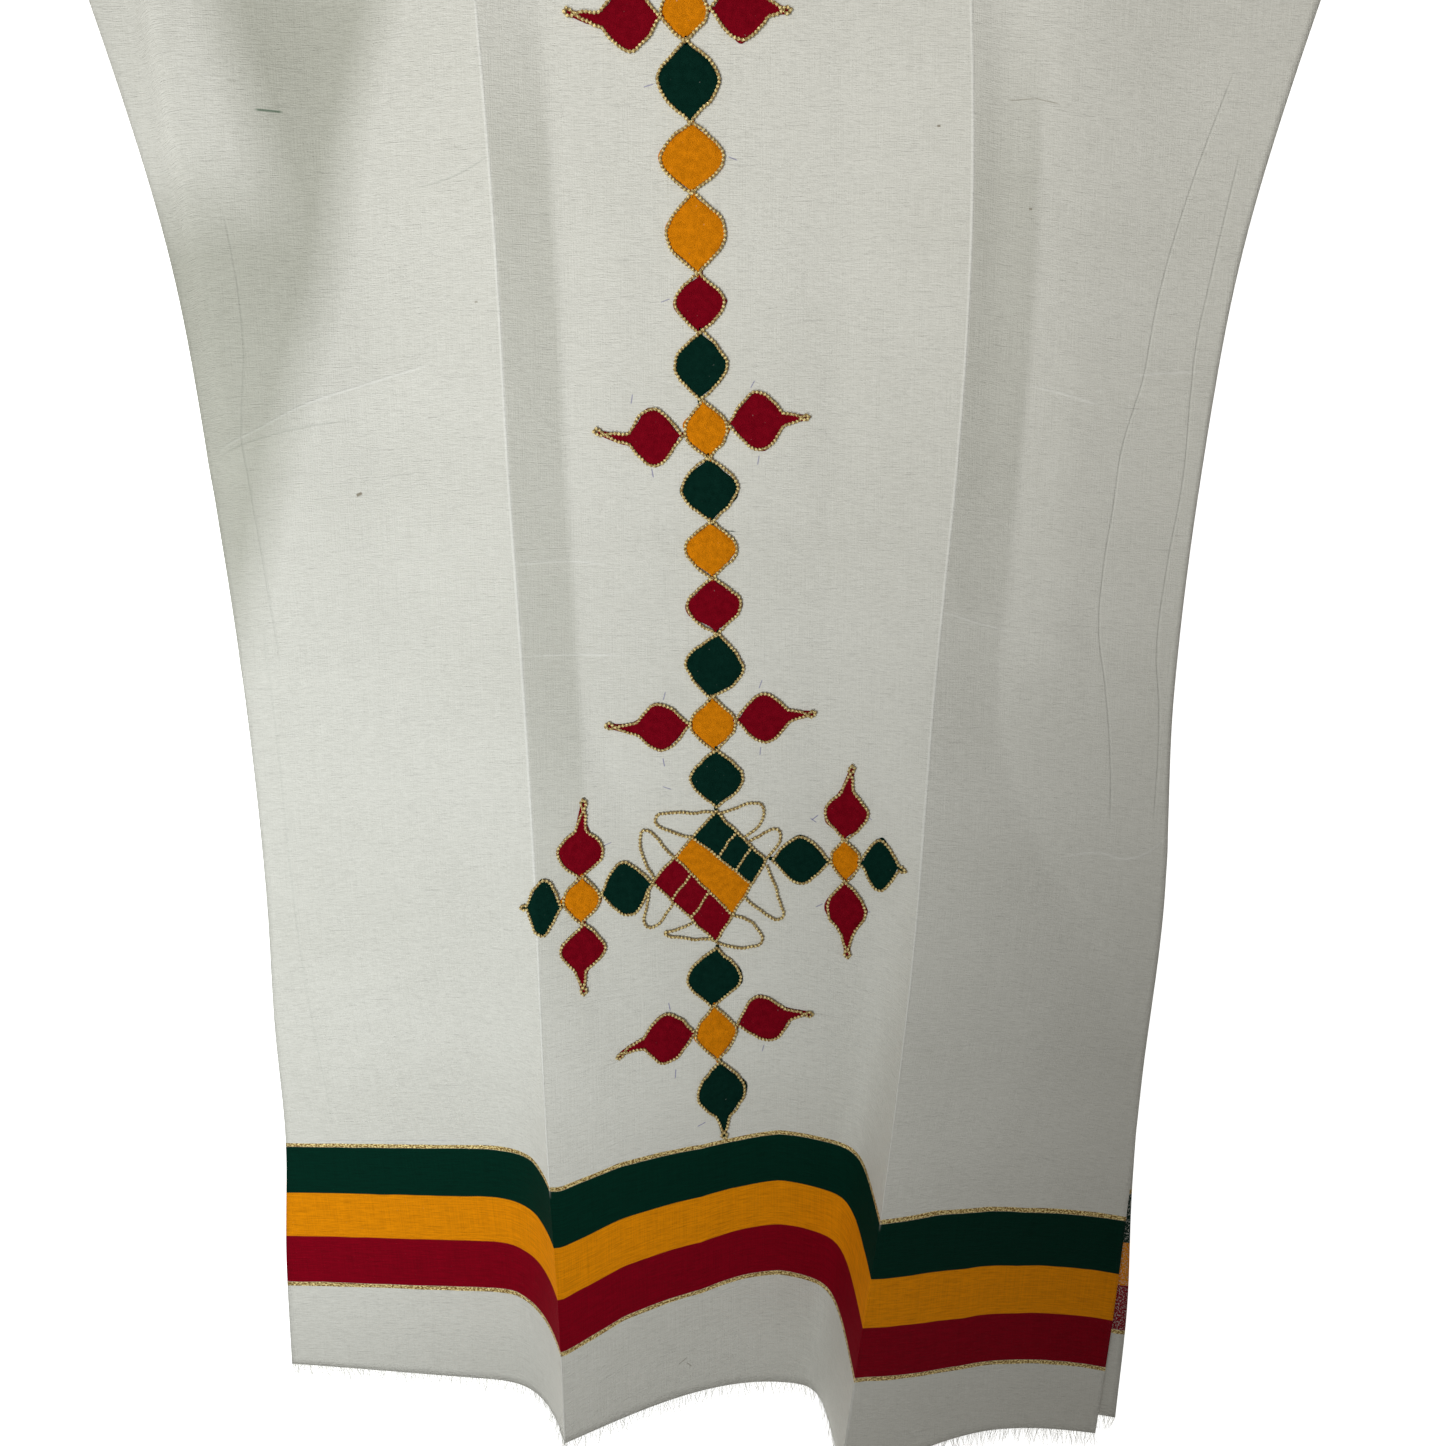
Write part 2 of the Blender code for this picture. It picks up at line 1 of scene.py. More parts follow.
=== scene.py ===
"""Looks of a habesha kemis that lies flat on its back, seen from above its lower half.

The cloth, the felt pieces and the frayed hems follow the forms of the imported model. Gold cord, woven stripes and
small creases are added here. X runs across the dress, Y from the hem up to the neck and Z up from the floor, in metres.
"""
import math

import bpy
import bmesh
import numpy as np
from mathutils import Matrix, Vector


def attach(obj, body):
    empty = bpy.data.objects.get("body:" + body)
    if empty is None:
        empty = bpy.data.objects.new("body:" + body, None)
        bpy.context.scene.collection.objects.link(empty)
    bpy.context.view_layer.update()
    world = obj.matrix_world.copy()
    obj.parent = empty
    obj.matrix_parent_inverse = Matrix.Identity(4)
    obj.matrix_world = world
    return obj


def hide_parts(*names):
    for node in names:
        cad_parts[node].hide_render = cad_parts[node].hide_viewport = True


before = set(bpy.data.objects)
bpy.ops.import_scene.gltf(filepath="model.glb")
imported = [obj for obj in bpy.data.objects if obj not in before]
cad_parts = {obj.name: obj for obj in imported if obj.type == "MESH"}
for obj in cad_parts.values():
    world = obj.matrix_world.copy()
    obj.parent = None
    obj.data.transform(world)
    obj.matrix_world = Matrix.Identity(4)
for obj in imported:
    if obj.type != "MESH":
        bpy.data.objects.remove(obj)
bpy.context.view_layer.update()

# Cloth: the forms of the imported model, with the ridges a few millimetres nearer to the photo
WALL = 0.0015
GAP = 0.0003
FRONT_TOP = 2 * WALL + GAP
LENGTH = 1.37
SHOULDER_FALL = 0.055
NECK_HALF = 0.085
FRONT_NECK_DEPTH = 0.10
BACK_NECK_DEPTH = 0.03
UNDERARM_UP = 1.06
CUFF_ACROSS = 0.60
CUFF_LOW = 1.045
CUFF_HIGH = 1.225
REACH_BELOW = 0.0689
HEM_Y = (REACH_BELOW - LENGTH) / 2

# Lines that run up the dress: their distance from its middle, at each height above the hem
LINE_UP = (0.0, 0.10, 0.20, 0.30, 0.40, 0.55, 0.70, 0.85, 1.00, 1.06, 1.20, 1.37)
LINES = {
    "left_side": (-0.331, -0.328, -0.321, -0.322, -0.320, -0.323, -0.333, -0.349, -0.386, -0.405, -0.391, -0.372),
    "left_swell": (-0.290, -0.290, -0.290, -0.290, -0.290, -0.298, -0.308, -0.318, -0.334, -0.336, -0.336, -0.336),
    "left_crease": (-0.108, -0.110, -0.115, -0.120, -0.123, -0.127, -0.132, -0.135, -0.142, -0.144, -0.146, -0.148),
    "trough": (0.062, 0.062, 0.055, 0.045, 0.030, 0.020, 0.020, 0.020, 0.020, 0.020, 0.020, 0.020),
    "right_crease": (0.096, 0.108, 0.122, 0.136, 0.147, 0.155, 0.165, 0.169, 0.163, 0.161, 0.158, 0.155),
    "right_swell": (0.220, 0.220, 0.220, 0.220, 0.220, 0.220, 0.220, 0.220, 0.220, 0.220, 0.220, 0.220),
    "right_side": (0.305, 0.312, 0.317, 0.322, 0.328, 0.324, 0.331, 0.348, 0.386, 0.405, 0.391, 0.372),
    "back_right_side": (0.321, 0.324, 0.321, 0.322, 0.328, 0.324, 0.331, 0.348, 0.386, 0.405, 0.391, 0.372),
}
RIDGE_HEIGHT = {
    "left_swell": (0.0, 0.0, 0.0, 0.0, 0.0, 0.003, 0.010, 0.016, 0.017, 0.013, 0.003, 0.0),
    "left_crease": (0.052, 0.049, 0.042, 0.026, 0.014, 0.0105, 0.0100, 0.0100, 0.0095, 0.008, 0.002, 0.0),
    "right_crease": (0.062, 0.061, 0.054, 0.034, 0.018, 0.0115, 0.0110, 0.0100, 0.0065, 0.005, 0.002, 0.0),
    "right_swell": (0.0, 0.0, 0.0, 0.0, 0.0, 0.001, 0.003, 0.005, 0.006, 0.005, 0.002, 0.0),
}
FLANKS = {  # at the hem: left width, left power, right width, right power, then the same four higher up
    "left_crease": (0.080, 3.6, 0.185, 2.0, 0.090, 1.3, 0.038, 1.05),
    "right_crease": (0.048, 7.0, 0.220, 1.5, 0.080, 1.3, 0.046, 1.05),
}
SWELL_FLANKS = {"left_swell": (0.028, 0.100), "right_swell": (0.040, 0.100)}
HEM_FORM_UP = (0.20, 0.55)
DROP_LINES = ("left_side", "left_crease", "trough", "right_crease", "right_swell", "right_side")
DROP_AT_HEM = (0.0, -0.003, 0.013, -0.019, -0.030, -0.057)
DROP_ABOVE = (-0.016, -0.002, 0.0, 0.0, -0.005, -0.013)
HEM_CUT = (0.006, -0.010, -0.024, -0.012, -0.006, 0.0)
DROP_UP = (0.12, 0.55)
DROP_ENDS_UP = (0.90, 1.20)
BACK_HEM_ACROSS = (-0.331, -0.11, 0.06, 0.12, 0.22, 0.321)
BACK_HEM_DROP = (0.010, 0.0, 0.0, -0.010, -0.025, -0.045)
BACK_DROP_UP = (0.15, 0.45)
SPAN_LINES = ("left_side", "left_crease", "right_crease", "right_side")
LOW_ROW = 0.07
HIGH_ROW = 1.20
SAMPLES = 700
NUDGE = 0.002

# How finely the scene's cloth follows those forms
CLOTH = 0.0007  # thickness of the cloth
SPAN_COLUMNS = (46, 62, 46)
CREASE_STEPS = (0.0007, 0.0015, 0.0025)  # extra columns beside a sharp crease
ROW_STEP = 0.0062
BACK_COLUMNS = 110
BACK_ROW_STEP = 0.014
SLEEVE_STEPS = 48
SLEEVE_COLUMNS = 30

# Soft folds of the front: start and end as run across the cloth and height up it, then the height of the ridge, half
# its width, and how far its middle bows aside
CREASES = (
    # start run, start up, end run, end up, height, half width, bow
    (-0.330, 0.716, -0.180, 0.766, 0.0016, 0.009, 0.005),
    (-0.330, 0.690, -0.220, 0.722, -0.0012, 0.012, 0.004),
    (-0.323, 0.580, -0.240, 0.566, 0.0010, 0.010, -0.003),
    (-0.120, 0.640, 0.020, 0.634, 0.0009, 0.009, 0.003),
    (-0.120, 0.573, 0.010, 0.566, 0.0008, 0.010, -0.003),
    (0.030, 0.640, 0.150, 0.633, 0.0009, 0.010, 0.002),
    (0.160, 0.604, 0.260, 0.580, 0.0012, 0.010, 0.003),
    (0.250, 0.432, 0.330, 0.446, 0.0012, 0.010, -0.003),
    (0.230, 0.772, 0.330, 0.760, 0.0012, 0.009, -0.002),
    (-0.230, 0.500, -0.190, 0.320, 0.0014, 0.022, 0.006),
    (-0.270, 0.420, -0.300, 0.250, -0.0012, 0.020, -0.004),
    (-0.090, 0.420, -0.060, 0.250, -0.0010, 0.018, 0.003),
    (0.245, 0.740, 0.235, 0.560, 0.0014, 0.020, 0.004),
    (0.270, 0.330, 0.240, 0.220, 0.0014, 0.020, -0.004),
    (-0.060, 0.860, -0.070, 0.700, 0.0009, 0.018, 0.003),
    (0.080, 0.860, 0.090, 0.680, -0.0009, 0.020, -0.003),
    (-0.220, 1.180, -0.140, 1.020, 0.0016, 0.020, 0.006),
    (0.200, 1.200, 0.120, 1.060, 0.0016, 0.020, -0.006),
    (-0.060, 1.230, -0.020, 1.100, -0.0012, 0.018, 0.004),
)

# The band is woven a little askew: how far it is lower than at the left side, and how much more at its lowest line
BAND_RUNS = (-0.334, -0.182, -0.151, -0.128, -0.113, -0.068, -0.008, 0.022, 0.052, 0.118, 0.139, 0.161, 0.205, 0.239,
             0.281, 0.347)
BAND_SHIFT = (0.0, -0.0015, -0.003, 0.002, 0.0067, 0.0045, 0.0097, 0.008, 0.003, 0.001, 0.004, 0.0067, 0.0055, 0.008,
              0.0097, 0.0075)
BAND_STRETCH = (0.0, 0.003, 0.011, 0.010, 0.0075, 0.004, 0.0025, 0.0, 0.0015, 0.006, 0.004, 0.002, 0.011, 0.013,
                0.012, 0.011)
BAND_LOW, BAND_HIGH, BAND_FADE = 0.0773, 0.1968, 0.30

# Thin lines pressed into the front, up the dress, each with painted shade along its groove: run across the cloth at
# each height, depth, half width
UP_LINES = (
    (((0.467, 0.288), (0.507, 0.285), (0.556, 0.278), (0.593, 0.271), (0.637, 0.271), (0.678, 0.275), (0.715, 0.278),
      (0.762, 0.289), (0.814, 0.296), (0.871, 0.309), (0.944, 0.332)), -0.9, 0.0011),
    (((0.470, 0.319), (0.541, 0.317), (0.584, 0.312), (0.643, 0.315), (0.698, 0.321), (0.784, 0.323), (0.826, 0.329),
      (0.899, 0.341)), -0.9, 0.0011),
    (((0.583, -0.297), (0.654, -0.302), (0.729, -0.307), (0.790, -0.301), (0.860, -0.306)), -0.8, 0.0011),
    (((0.22, -0.305), (0.40, -0.303), (0.60, -0.306)), -0.4, 0.0012),
)
# Thin lines across the dress, with a painted highlight where raised and painted shade where pressed in: height up the
# cloth at each run, depth, half width
CROSS_LINES = (
    (((-0.320, 0.723), (-0.297, 0.732), (-0.268, 0.745), (-0.236, 0.754), (-0.189, 0.764)), 1.3, 0.0013),
    (((-0.318, 0.720), (-0.296, 0.7265), (-0.266, 0.732), (-0.245, 0.734)), -1.0, 0.0010),
    (((0.163, 0.599), (0.183, 0.594), (0.204, 0.590)), 1.0, 0.0012),
    (((0.285, 0.764), (0.305, 0.767), (0.324, 0.769)), 1.1, 0.0013),
    (((0.215, 0.752), (0.240, 0.748), (0.262, 0.743)), 0.6, 0.0013),
    (((0.261, 0.437), (0.283, 0.441), (0.304, 0.439), (0.329, 0.455)), 0.9, 0.0013),
    (((-0.127, 0.633), (-0.100, 0.634), (-0.074, 0.632)), 0.7, 0.0011),
    (((-0.123, 0.571), (-0.090, 0.570), (-0.061, 0.569)), 0.7, 0.0011),
    (((-0.185, 0.874), (-0.160, 0.879), (-0.137, 0.889)), -0.8, 0.0010),
)
# Each crease's ridge line, with a painted highlight, and the strip right of it, with painted shade: the span that
# starts at the crease, the strip's width, the height where the shaded strip starts
CREASE_SIDES = ((1, 0.038, 0.30), (2, 0.044, 0.52))
CREASE_LINE_UP = (0.0, 0.1, 0.2, 0.3, 0.4, 0.5, 0.6, 0.7, 0.8, 0.9, 0.98)
# Painted shade on the left of the front: its right edge, as height up and run across the cloth
SHADOW_EDGE = ((0.55, -0.322), (0.62, -0.305), (0.77, -0.260), (0.83, -0.240), (0.90, -0.224), (0.97, -0.200))

# Ticks of the pen that marked the pattern out: run, height up, turn in degrees, half length, strength
PEN = (0.10, 0.09, 0.33)
SOIL = (0.16, 0.12, 0.06)
PEN_TICKS = (
    (-0.030, 0.304, 100, 0.0036, 0.7), (-0.026, 0.255, 85, 0.0034, 0.7), (0.019, 0.283, 60, 0.0034, 0.7),
    (0.039, 0.266, 75, 0.0030, 0.6), (-0.007, 0.215, 20, 0.0036, 0.7), (0.075, 0.451, 40, 0.0034, 0.7),
    (0.074, 0.449, -35, 0.0030, 0.6), (0.113, 0.453, -30, 0.0030, 0.6), (-0.030, 0.473, -20, 0.0036, 0.6),
    (0.079, 0.385, 30, 0.0032, 0.6), (0.113, 0.384, 10, 0.0034, 0.7), (-0.073, 0.433, 20, 0.0034, 0.6),
    (-0.050, 0.740, 80, 0.0034, 0.6), (-0.037, 0.692, 100, 0.0034, 0.7), (0.030, 0.749, 60, 0.0030, 0.6),
    (0.034, 0.700, 80, 0.0034, 0.6), (-0.031, 0.540, 75, 0.0034, 0.6), (-0.032, 0.492, 100, 0.0034, 0.7),
    (0.036, 0.548, 70, 0.0034, 0.6), (0.036, 0.500, 85, 0.0034, 0.6), (-0.036, 0.931, 15, 0.0036, 0.6),
    (0.017, 0.888, -20, 0.0034, 0.6), (-0.027, 0.802, 20, 0.0034, 0.5),
)
TICK_HALF = 0.0005
# Specks, threads and a long pen line: the same, with the half width and the colour
MARKS = (
    (-0.268, 0.2015, 0.9, 0.064, 0.18, 0.0004, PEN), (-0.236, 0.686, 20, 0.0022, 0.75, 0.0014, SOIL),
    (0.147, 0.904, 0, 0.0012, 0.7, 0.0009, SOIL), (-0.276, 0.9225, -4, 0.0085, 0.7, 0.0009, (0.03, 0.10, 0.05)),
    (0.199, 0.9235, 9, 0.0085, 0.45, 0.0004, SOIL), (0.215, 0.924, -8, 0.0085, 0.45, 0.0004, SOIL),
    (-0.023, 0.0215, 30, 0.0042, 0.4, 0.0006, SOIL), (-0.018, 0.0165, -50, 0.0034, 0.4, 0.0006, SOIL),
    (-0.150, 0.802, 0, 0.0011, 0.5, 0.0008, SOIL), (0.208, 0.860, 0, 0.0011, 0.6, 0.0009, SOIL),
    (-0.090, 0.345, 0, 0.0010, 0.5, 0.0008, SOIL), (0.011, 0.6535, -3, 0.0085, 0.85, 0.0005, (0.01, 0.03, 0.02)),
)


def smooth(at, knots, values):
    """A soft curve through the values at the knots, level past both ends."""
    knots = np.asarray(knots, float)
    values = np.asarray(values, float)
    at = np.clip(at, knots[0], knots[-1])
    slope = np.gradient(values, knots)
    i = np.clip(np.searchsorted(knots, at) - 1, 0, len(knots) - 2)
    span = knots[i + 1] - knots[i]
    f = (at - knots[i]) / span
    ends = values[i] * (1 + 2 * f) * (1 - f) ** 2 + values[i + 1] * f * f * (3 - 2 * f)
    return ends + span * f * (1 - f) * (slope[i] * (1 - f) - slope[i + 1] * f)


def ease(at, low, high):
    """0 up to low, 1 from high on, and a soft step between."""
    f = np.clip((at - low) / (high - low), 0.0, 1.0)
    return f * f * (3 - 2 * f)


def line(name, up):
    return float(smooth(up, LINE_UP, LINES[name]))


def front_rise(across, up):
    """Height of the front above its flat parts, along one weft thread."""
    rise = np.zeros_like(across)
    hem_form = 1.0 - float(ease(up, *HEM_FORM_UP))
    for name, flanks in FLANKS.items():
        low = np.array(flanks[:4])
        high = np.array(flanks[4:])
        left_width, left_power, right_width, right_power = high + (low - high) * hem_form
        d = across - line(name, up)
        width = np.where(d < 0, left_width, right_width)
        power = np.where(d < 0, left_power, right_power)
        rise += float(smooth(up, LINE_UP, RIDGE_HEIGHT[name])) * np.clip(1 - np.abs(d) / width, 0, 1) ** power
    for name, (left_width, right_width) in SWELL_FLANKS.items():
        d = across - line(name, up)
        f = np.clip(np.abs(d) / np.where(d < 0, left_width, right_width), 0, 1)
        rise += float(smooth(up, LINE_UP, RIDGE_HEIGHT[name])) * (1 + np.cos(math.pi * f)) / 2
    return rise


ROWS = {}


def front_row(up):
    """One weft thread of the front: the run along it from the dress's middle, with its place at each run."""
    key = round(up, 4)
    if key not in ROWS:
        lines = {name: line(name, key) for name in LINES}
        even = np.linspace(lines["left_side"], lines["right_side"], SAMPLES)
        across = np.sort(np.append(even, (lines["left_crease"], lines["right_crease"])))
        rise = front_rise(across, key)
        run = np.append(0.0, np.cumsum(np.hypot(np.diff(across), np.diff(rise))))
        run -= np.interp(0.0, across, run)
        pins = np.interp([lines[name] for name in DROP_LINES], across, run)
        at_hem = 1.0 - float(ease(key, *DROP_UP))
        above = (1.0 - at_hem) * (1.0 - float(ease(key, *DROP_ENDS_UP)))
        drop = smooth(run, pins, DROP_AT_HEM) * at_hem + smooth(run, pins, DROP_ABOVE) * above
        ROWS[key] = {"run": run, "across": across, "rise": rise, "drop": drop, "pins": pins}
        ROWS[key]["spans"] = np.interp([lines[name] for name in SPAN_LINES], across, run)
    return ROWS[key]


def relief(run, up):
    """Height that the small creases give the front."""
    height = 0.0
    for x0, y0, x1, y1, size, half, bow in CREASES:
        along = Vector((x1 - x0, y1 - y0))
        f = (run - x0) * along.x + (up - y0) * along.y
        f /= along.length_squared
        if -0.15 < f < 1.15:
            aside = ((run - x0) * along.y - (up - y0) * along.x) / along.length + bow * 4 * f * (1 - f)
            if abs(aside) < 3 * half:
                ends = ease(f, -0.15, 0.15) * (1 - ease(f, 0.85, 1.15))
                height += size * math.exp(-(aside / half) ** 2) * float(ends)
    return height


def on_front(run, up):
    """A point of the front's outer face, at a run across the cloth and a height up it."""
    row = front_row(up)
    x, rise, drop = (float(np.interp(run, row["run"], row[what])) for what in ("across", "rise", "drop"))
    return Vector((x, HEM_Y + up + drop, FRONT_TOP + rise + relief(run, up)))


def square_to_front(run, up):
    """The direction that stands square to the front's outer face."""
    across = on_front(run + NUDGE, up) - on_front(run - NUDGE, up)
    along = on_front(run, up + NUDGE) - on_front(run, up - NUDGE)
    return across.cross(along).normalized()


def over_front(run, up, lift):
    return on_front(run, up) + square_to_front(run, up) * lift


def hem_cut(run):
    return float(smooth(run, front_row(0.0)["pins"], HEM_CUT))


def top_edge(x, neck_depth):
    """Height of the neck's or shoulder's edge at a distance from the middle."""
    shoulder_end = LINES["right_side"][-1]
    if abs(x) < NECK_HALF:
        return LENGTH - neck_depth * math.sqrt(1 - (x / NECK_HALF) ** 2)
    return LENGTH - SHOULDER_FALL * (abs(x) - NECK_HALF) / (shoulder_end - NECK_HALF)


def stretched(row, cut, top):
    """Height up the cloth of a grid row, where the first rows end at the hem's cut and the last at the top edge."""
    if row < LOW_ROW:
        return cut + (LOW_ROW - cut) * row / LOW_ROW
    if row > HIGH_ROW:
        return HIGH_ROW + (top - HIGH_ROW) * (row - HIGH_ROW) / (LENGTH - HIGH_ROW)
    return row


def column_run(span, share, up):
    ends = front_row(up)["spans"]
    return ends[span] + (ends[span + 1] - ends[span]) * share


def top_of_column(x_share, neck_depth):
    return top_edge(x_share * LINES["right_side"][-1], neck_depth)


def front_columns():
    """The front's grid columns: span, share of the span, distance from there, and the heights where it ends."""
    columns = []
    for span, count in enumerate(SPAN_COLUMNS):
        places = [(k / count, 0.0) for k in range(count)]
        if span:
            places[1:1] = [(0.0, step) for step in CREASE_STEPS]
        if span < len(SPAN_COLUMNS) - 1:
            places += [(1.0, -step) for step in reversed(CREASE_STEPS)]
        else:
            places.append((1.0, 0.0))
        for share, step in places:
            cut = hem_cut(column_run(span, share, 0.0) + step)
            high = on_front(column_run(span, share, HIGH_ROW) + step, HIGH_ROW).x / line("right_side", HIGH_ROW)
            columns.append((span, share, step, cut, top_of_column(high, FRONT_NECK_DEPTH)))
    return columns


def front_place(column, row):
    """Place of one of the front's grid points, with its run across the cloth and its height up it."""
    span, share, step, cut, top = column
    up = stretched(row, cut, top)
    run = column_run(span, share, up) + step
    return on_front(run, up), (run, up)


def back_point(share, up):
    """A point of the back's upper face, from share -1 at its left side to 1 at its right."""
    left = line("left_side", up)
    right = line("back_right_side", up)
    x = left + (right - left) * (share + 1) / 2
    drop = float(smooth(x, BACK_HEM_ACROSS, BACK_HEM_DROP)) * (1 - float(ease(up, *BACK_DROP_UP)))
    return Vector((x, HEM_Y + up + drop, WALL))


def back_place(share, row):
    up = stretched(row, 0.0, top_of_column(share, BACK_NECK_DEPTH))
    point = back_point(share, up)
    return point, (point.x, up)


# Shader maths as plain expressions

class Value:
    """One output of a shader node."""

    def __init__(self, paint, socket):
        self.paint = paint
        self.socket = socket

    def maths(self, operation, *others):
        return self.paint.node("ShaderNodeMath", {"operation": operation}, self, *others)

    def __add__(self, other):
        return self.maths("ADD", other)

    __radd__ = __add__

    def __sub__(self, other):
        return self.maths("SUBTRACT", other)

    def __rsub__(self, other):
        return self.paint.node("ShaderNodeMath", {"operation": "SUBTRACT"}, other, self)

    def __mul__(self, other):
        return self.maths("MULTIPLY", other)

    __rmul__ = __mul__

    def clipped(self):
        return self.paint.node("ShaderNodeMath", {"operation": "ADD", "use_clamp": True}, self, 0.0)

    def step(self, low, high):
        """0 below low and 1 above high; the other way round where high is the lower one."""
        return self.paint.node("ShaderNodeMapRange", {}, self, low, high)


class Paint:
    """A material being made, with one way to add a node."""

    def __init__(self, name):
        self.material = bpy.data.materials.new(name)
        self.material.use_nodes = True
        self.tree = self.material.node_tree
        self.shader = self.tree.nodes["Principled BSDF"]

    def node(self, kind, settings, *values, out=0, by_place=None, **named):
        made = self.tree.nodes.new(kind)
        for name, setting in settings.items():
            if name == "points":
                curve = made.mapping.curves[0]
                for k, (at, height) in enumerate(setting):
                    point = curve.points[k] if k < 2 else curve.points.new(at, height)
                    point.location = (at, height)
                made.mapping.update()
            else:
                setattr(made, name, setting)
        for key, value in list(enumerate(values)) + list((by_place or {}).items()) + list(named.items()):
            self.put(value, made.inputs[key.replace("_", " ") if isinstance(key, str) else key])
        return Value(self, made.outputs[out])

    def put(self, value, socket):
        if isinstance(value, Value):
            self.tree.links.new(value.socket, socket)
        elif isinstance(value, tuple) and len(value) == 3 and len(getattr(socket, "default_value", value)) == 4:
            socket.default_value = (*value, 1.0)
        else:
            socket.default_value = value

    def give(self, **finish):
        """Values or links for the Principled shader's sockets, by their names."""
        for name, value in finish.items():
            self.put(value, self.shader.inputs[name.replace("_", " ")])
        return self.material

    def uv(self):
        """Run across the cloth and height up it, in metres."""
        place = self.node("ShaderNodeUVMap", {"uv_map": CLOTH_MAP})
        return (self.node("ShaderNodeSeparateXYZ", {}, place), self.node("ShaderNodeSeparateXYZ", {}, place, out=1))

    def place(self):
        """Place on the piece itself, in metres."""
        return self.node("ShaderNodeTexCoord", {}, out=3)

    def noise(self, x, y, scale_x, scale_y, detail, seed):
        at = self.node("ShaderNodeCombineXYZ", {}, x * scale_x, y * scale_y, seed)
        return self.grain(at, 1.0, detail)

    def grain(self, at, scale, detail):
        return self.node("ShaderNodeTexNoise", {}, Vector=at, Scale=scale, Detail=detail)

    def curve(self, places, at):
        """A given curve's height at a value; a curve node holds its points within 0 and 1."""
        return self.node("ShaderNodeFloatCurve", {"points": places}, Value=at)

    def mix(self, factor, a, b, blend="MIX"):
        """Colours go through sockets 6 and 7 of a Mix node, and come out of its third."""
        return self.node("ShaderNodeMix", {"data_type": "RGBA", "blend_type": blend}, by_place={0: factor, 6: a, 7: b},
                         out=2)

    def line(self, across, along, places, half, fade=0.008):
        """1 on the middle of a given line, 0 away from it and past its ends; both maps within 0.5 of 0."""
        middle = self.curve([(a + 0.5, b + 0.5) for a, b in places], along + 0.5) - 0.5
        away = (across - middle).maths("ABSOLUTE")
        start, end = places[0][0], places[-1][0]
        return (away.step(half, half * 0.2) * along.step(start - fade, start + fade)
                * along.step(end + fade, end - fade))

    def between(self, at, low, high, soft):
        """1 between low and high, with soft borders."""
        return at.step(low - soft, low + soft) * at.step(high + soft, high - soft)

    def stroke(self, u, v, run, up, turn, half_long, half_wide):
        """1 on a short straight mark."""
        cos, sin = math.cos(math.radians(turn)), math.sin(math.radians(turn))
        along = ((u - run) * cos + (v - up) * sin).maths("ABSOLUTE")
        aside = ((v - up) * cos - (u - run) * sin).maths("ABSOLUTE")
        return along.step(half_long, half_long * 0.7) * aside.step(half_wide, half_wide * 0.4)

    def bump(self, height, distance, strength=1.0):
        return self.node("ShaderNodeBump", {}, Strength=strength, Distance=distance, Height=height)


CLOTH_MAP = "cloth"

# Woven band of the hem: heights up the cloth where each stripe starts and ends
BAND_FOOT, BAND_TOP = 0.0790, 0.1953
STRIPES = (("red", BAND_FOOT), ("yellow", 0.1188), ("green", 0.1558))  # colour, and height where it starts
GOLD_LINES = ((0.0757, BAND_FOOT), (BAND_TOP, 0.1984))
STRIPE_SOFT = 0.0003
GOLD_SOFT = 0.0002
STRIPE_DARK = 0.68  # a stripe's darkest threads, as a share of its colour
WOVEN = {"red": (0.26, 0.0003, 0.010), "yellow": (0.90, 0.30, 0.0015), "green": (0.0003, 0.026, 0.015)}
WEAVE = {
    # features of the cloth: scale across, scale up, detail, seed
    "wander": (9.0, 9.0, 2.0, 0.0), "weft": (60.0, 950.0, 1.0, 0.0), "fine": (140.0, 2300.0, 1.0, 31.0),
    "slub": (22.0, 760.0, 1.0, 3.0), "warp": (1500.0, 25.0, 1.0, 5.0), "cloudy": (5.0, 9.0, 3.0, 8.0),
    "grain": (900.0, 1500.0, 2.0, 41.0), "border": (45.0, 300.0, 1.0, 11.0), "fleck": (900.0, 700.0, 1.0, 21.0),
    "glitter": (620.0, 900.0, 2.0, 17.0),
}
COTTON_ROUGH = 0.92
COTTON_BUMP = 0.00042
COTTON = (0.75, 0.745, 0.695)
COTTON_SHADE = (0.61, 0.605, 0.55)
# Paler cotton: the loose threads' lighter tone, and the painted highlight on ridges and raised lines
COTTON_PALE = (0.86, 0.86, 0.82)
COTTON_PAINTED_SHADE = (0.60, 0.61, 0.56)  # painted shade: grey mixed into the cotton along grooves, in the strips right of the creases and in a band on the left of the front
# Painted highlight colour of the gold thread, for its glints and the cord's stitches; GOLD_DARK is the thread's darker
# colour, also standing for painted shade between stitches
GOLD = (1.0, 0.82, 0.38)
GOLD_DARK = (0.24, 0.12, 0.02)
FELT = {"green": (0.0008, 0.022, 0.0145), "yellow": (0.76, 0.24, 0.0015), "red": (0.22, 0.0002, 0.0085)}


